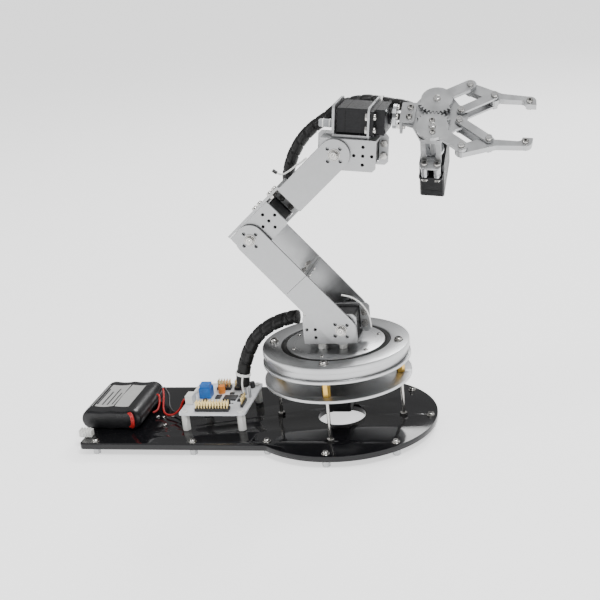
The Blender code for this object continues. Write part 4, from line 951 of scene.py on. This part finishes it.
def make_cord(name, points, at, radius, wrap, material, node, bodies, bend=None):
    """A cord in place of its CAD node; bend, the band where it would pass from one body to the next, only keeps
    the cord off the bodies: it is baked where it stands.
    """
    route = placed_route(points, at)
    obj, path = wrapped_tube(name, route, radius * MM, wrap, material)
    if bend:
        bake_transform(obj)
    else:
        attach(obj, bodies[0])
    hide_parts(node)


def make_cables():
    """The looms, those that span a joint baked where they stand, then the small wires and the leads."""
    make_cord("base_loom_wrap", BASE_LOOM, BASE, 6.0, 11.0, "sleeve", "base_loom",
              ("base", "turntable"), band(BASE, (-80, 0, 80), (-40, 0, 80)))
    end, _ = wrapped_tube("shoulder_loom_wrap", placed_route(SHOULDER_LOOM, BASE), 6.0 * MM, 11.0,
                          "sleeve")
    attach(end, "turntable")
    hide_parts("shoulder_loom")
    make_cord("wrist_loom_wrap", WRIST_LOOM, FOREARM, 5.2, 10.0, "sleeve", "wrist_loom",
              ("forearm", "wrist"), band(FOREARM, (84, 0, 0), (115, 0, 0)))
    make_cord("claw_loom_wrap", CLAW_LOOM, WRIST, 4.8, 9.0, "sleeve", "claw_loom",
              ("wrist", "claw"), band(WRIST, (22, 30, 29), (52, 30, 29)))
    make_small_wires()
    for colour, points in zip(("red", "black"), BATTERY_LEADS):
        make_cord("battery_wire_" + colour, points, BASE, 0.9, 0, colour + "_wire",
                  "battery_lead_" + colour, ("base",))


WIRE_SIDES = 10


def thin_wire(solids, points, at, radius, material):
    """A plain round wire as part of a group of solids."""
    route = placed_route(points, at, 6)
    frames = along(route, 1.4 * MM)
    index, rings = solids.slot(MAT[material]), []
    for point, side, up, _ in frames:
        turns = [2 * math.pi * k / WIRE_SIDES for k in range(WIRE_SIDES)]
        rings.append([solids.bm.verts.new(point + (side * math.cos(t) + up * math.sin(t)) * radius * MM)
                      for t in turns])
    for low, high in zip(rings, rings[1:]):
        for i in range(WIRE_SIDES):
            j = (i + 1) % WIRE_SIDES
            face = solids.bm.faces.new((low[i], low[j], high[j], high[i]))
            face.smooth, face.material_index = True, index
    for ring in (rings[0], rings[-1]):
        solids.bm.faces.new(ring).material_index = index


def tie(solids, points, at, spot, radius, material):
    """A narrow band round a loom, at the given share of its length."""
    frames = along(placed_route(points, at), 1.0 * MM)
    i = int(spot * (len(frames) - 2))
    ahead = (frames[i + 1][0] - frames[i][0]).normalized()
    point, side, up, _ = frames[i]
    solids.lathe(from_axes(point, side, ahead.cross(side), ahead),
                 [(radius, -1.2), (radius + 0.7, -1.1), (radius + 0.7, 1.1), (radius, 1.2)],
                 MAT[material], 28)


def make_small_wires():
    """The short wires, ties and plugs beside the looms."""
    bands = Solids("loom_bands_base")
    tie(bands, BASE_LOOM, BASE, 0.14, 6.0, "white_wire")
    bands.box(BASE, (-79.6, -77.4), (-8.6, -6.0), (30.5, 41.0), "grey_sleeve", 0.5)
    thin_wire(bands, [(-83.5, -9.3, 36), (-84, -9.0, 44), (-82.5, -8.6, 52)], BASE, 0.8,
              "white_wire")
    bands.done("base")
    bands = Solids("loom_bands_wrist")
    tie(bands, CLAW_LOOM, WRIST, 0.52, 4.8, "white_wire")
    bands.done("wrist")
    bands = Solids("loom_bands_forearm")
    thin_wire(bands, [(38.5, 27, 22.5), (41.5, 25, 18.5), (48, 22, 16.5), (58, 18, 15.2), (66, 12, 14.0),
                      (73, 4, 13.6)], FOREARM, 0.8, "white_wire")
    thin_wire(bands, [(37.6, 27.5, 26.5), (38.0, 27.3, 24.4), (38.6, 27, 22.4)], FOREARM, 1.5,
              "black_wire")
    bands.done("forearm")
    wrist = Solids("wrist_wires")
    wrist.box(WRIST, (-17.5, -4.8), (-5.0, 0.0), (16.8, 23.0), "grey_sleeve", 1.2)
    for x in (-14.0, -8.5):
        wrist.box(WRIST, (x - 0.5, x + 0.5), (-5.15, 0.15), (16.65, 23.15), "white_wire", 0.2)
    thin_wire(wrist, [(-5, -3, 20.5), (-1, -3, 22.5), (3, -2.5, 23.6)], WRIST, 0.8, "white_wire")
    wrist.done("wrist")
    shoulder = Solids("shoulder_wires")
    thin_wire(shoulder, [(9.0, -4, 121.5), (17, -2, 118.5), (24.5, -1, 112.5), (30.5, -3, 103.5),
                         (32.2, -4, 92.5)], BASE, 0.75, "white_wire")
    shoulder.done("turntable")
    lead = Solids("battery_leads_short")
    for points in ([(-181, -33.2, 27.4), (-177.5, -37.5, 26.8), (-176.2, -39.2, 22),
                    (-177.5, -37.8, 16), (-181, -33.4, 13.6)],
                   [(-182.5, -33.2, 27.0), (-179.2, -37.0, 26.2), (-178.0, -38.6, 21.8),
                    (-179.2, -37.2, 16.4), (-182.4, -33.4, 14.2)],
                   [(-171.2, 12, 25), (-168.4, 9, 25.2), (-166.8, 4, 21), (-167.6, -1, 16),
                    (-171.2, -4, 14.5)]):
        thin_wire(lead, points, BASE, 0.9, "red_wire")
    lead.done("base")


# ---- finishing the CAD nodes ----
def dress_nodes():
    """Give every CAD node that stays in view its material, by the record's slots."""
    finish = {"aluminium": "aluminium", "turned_aluminium": "small_turned", "steel": "steel",
              "black_plastic": "servo", "white_nylon": "nylon", "board": "board", "blue_plastic": "blue",
              "header": "header", "black_acrylic": "acrylic", "battery_wrap": "battery",
              "black_sleeve": "sleeve", "red_wire": "red_wire", "black_wire": "black_wire"}
    for entry in RECORD["subparts"]:
        node = NODES[entry["node"]]
        for index in range(len(node.data.materials)):
            node.data.materials[index] = MAT[finish[entry["material_slot"]]]


MAT = make_materials()
make_camera()
make_studio()
dress_nodes()
make_cables()
make_base_plate()
make_turntable()
make_arm_fixings()
make_claw_fixings()
make_battery()
make_board()
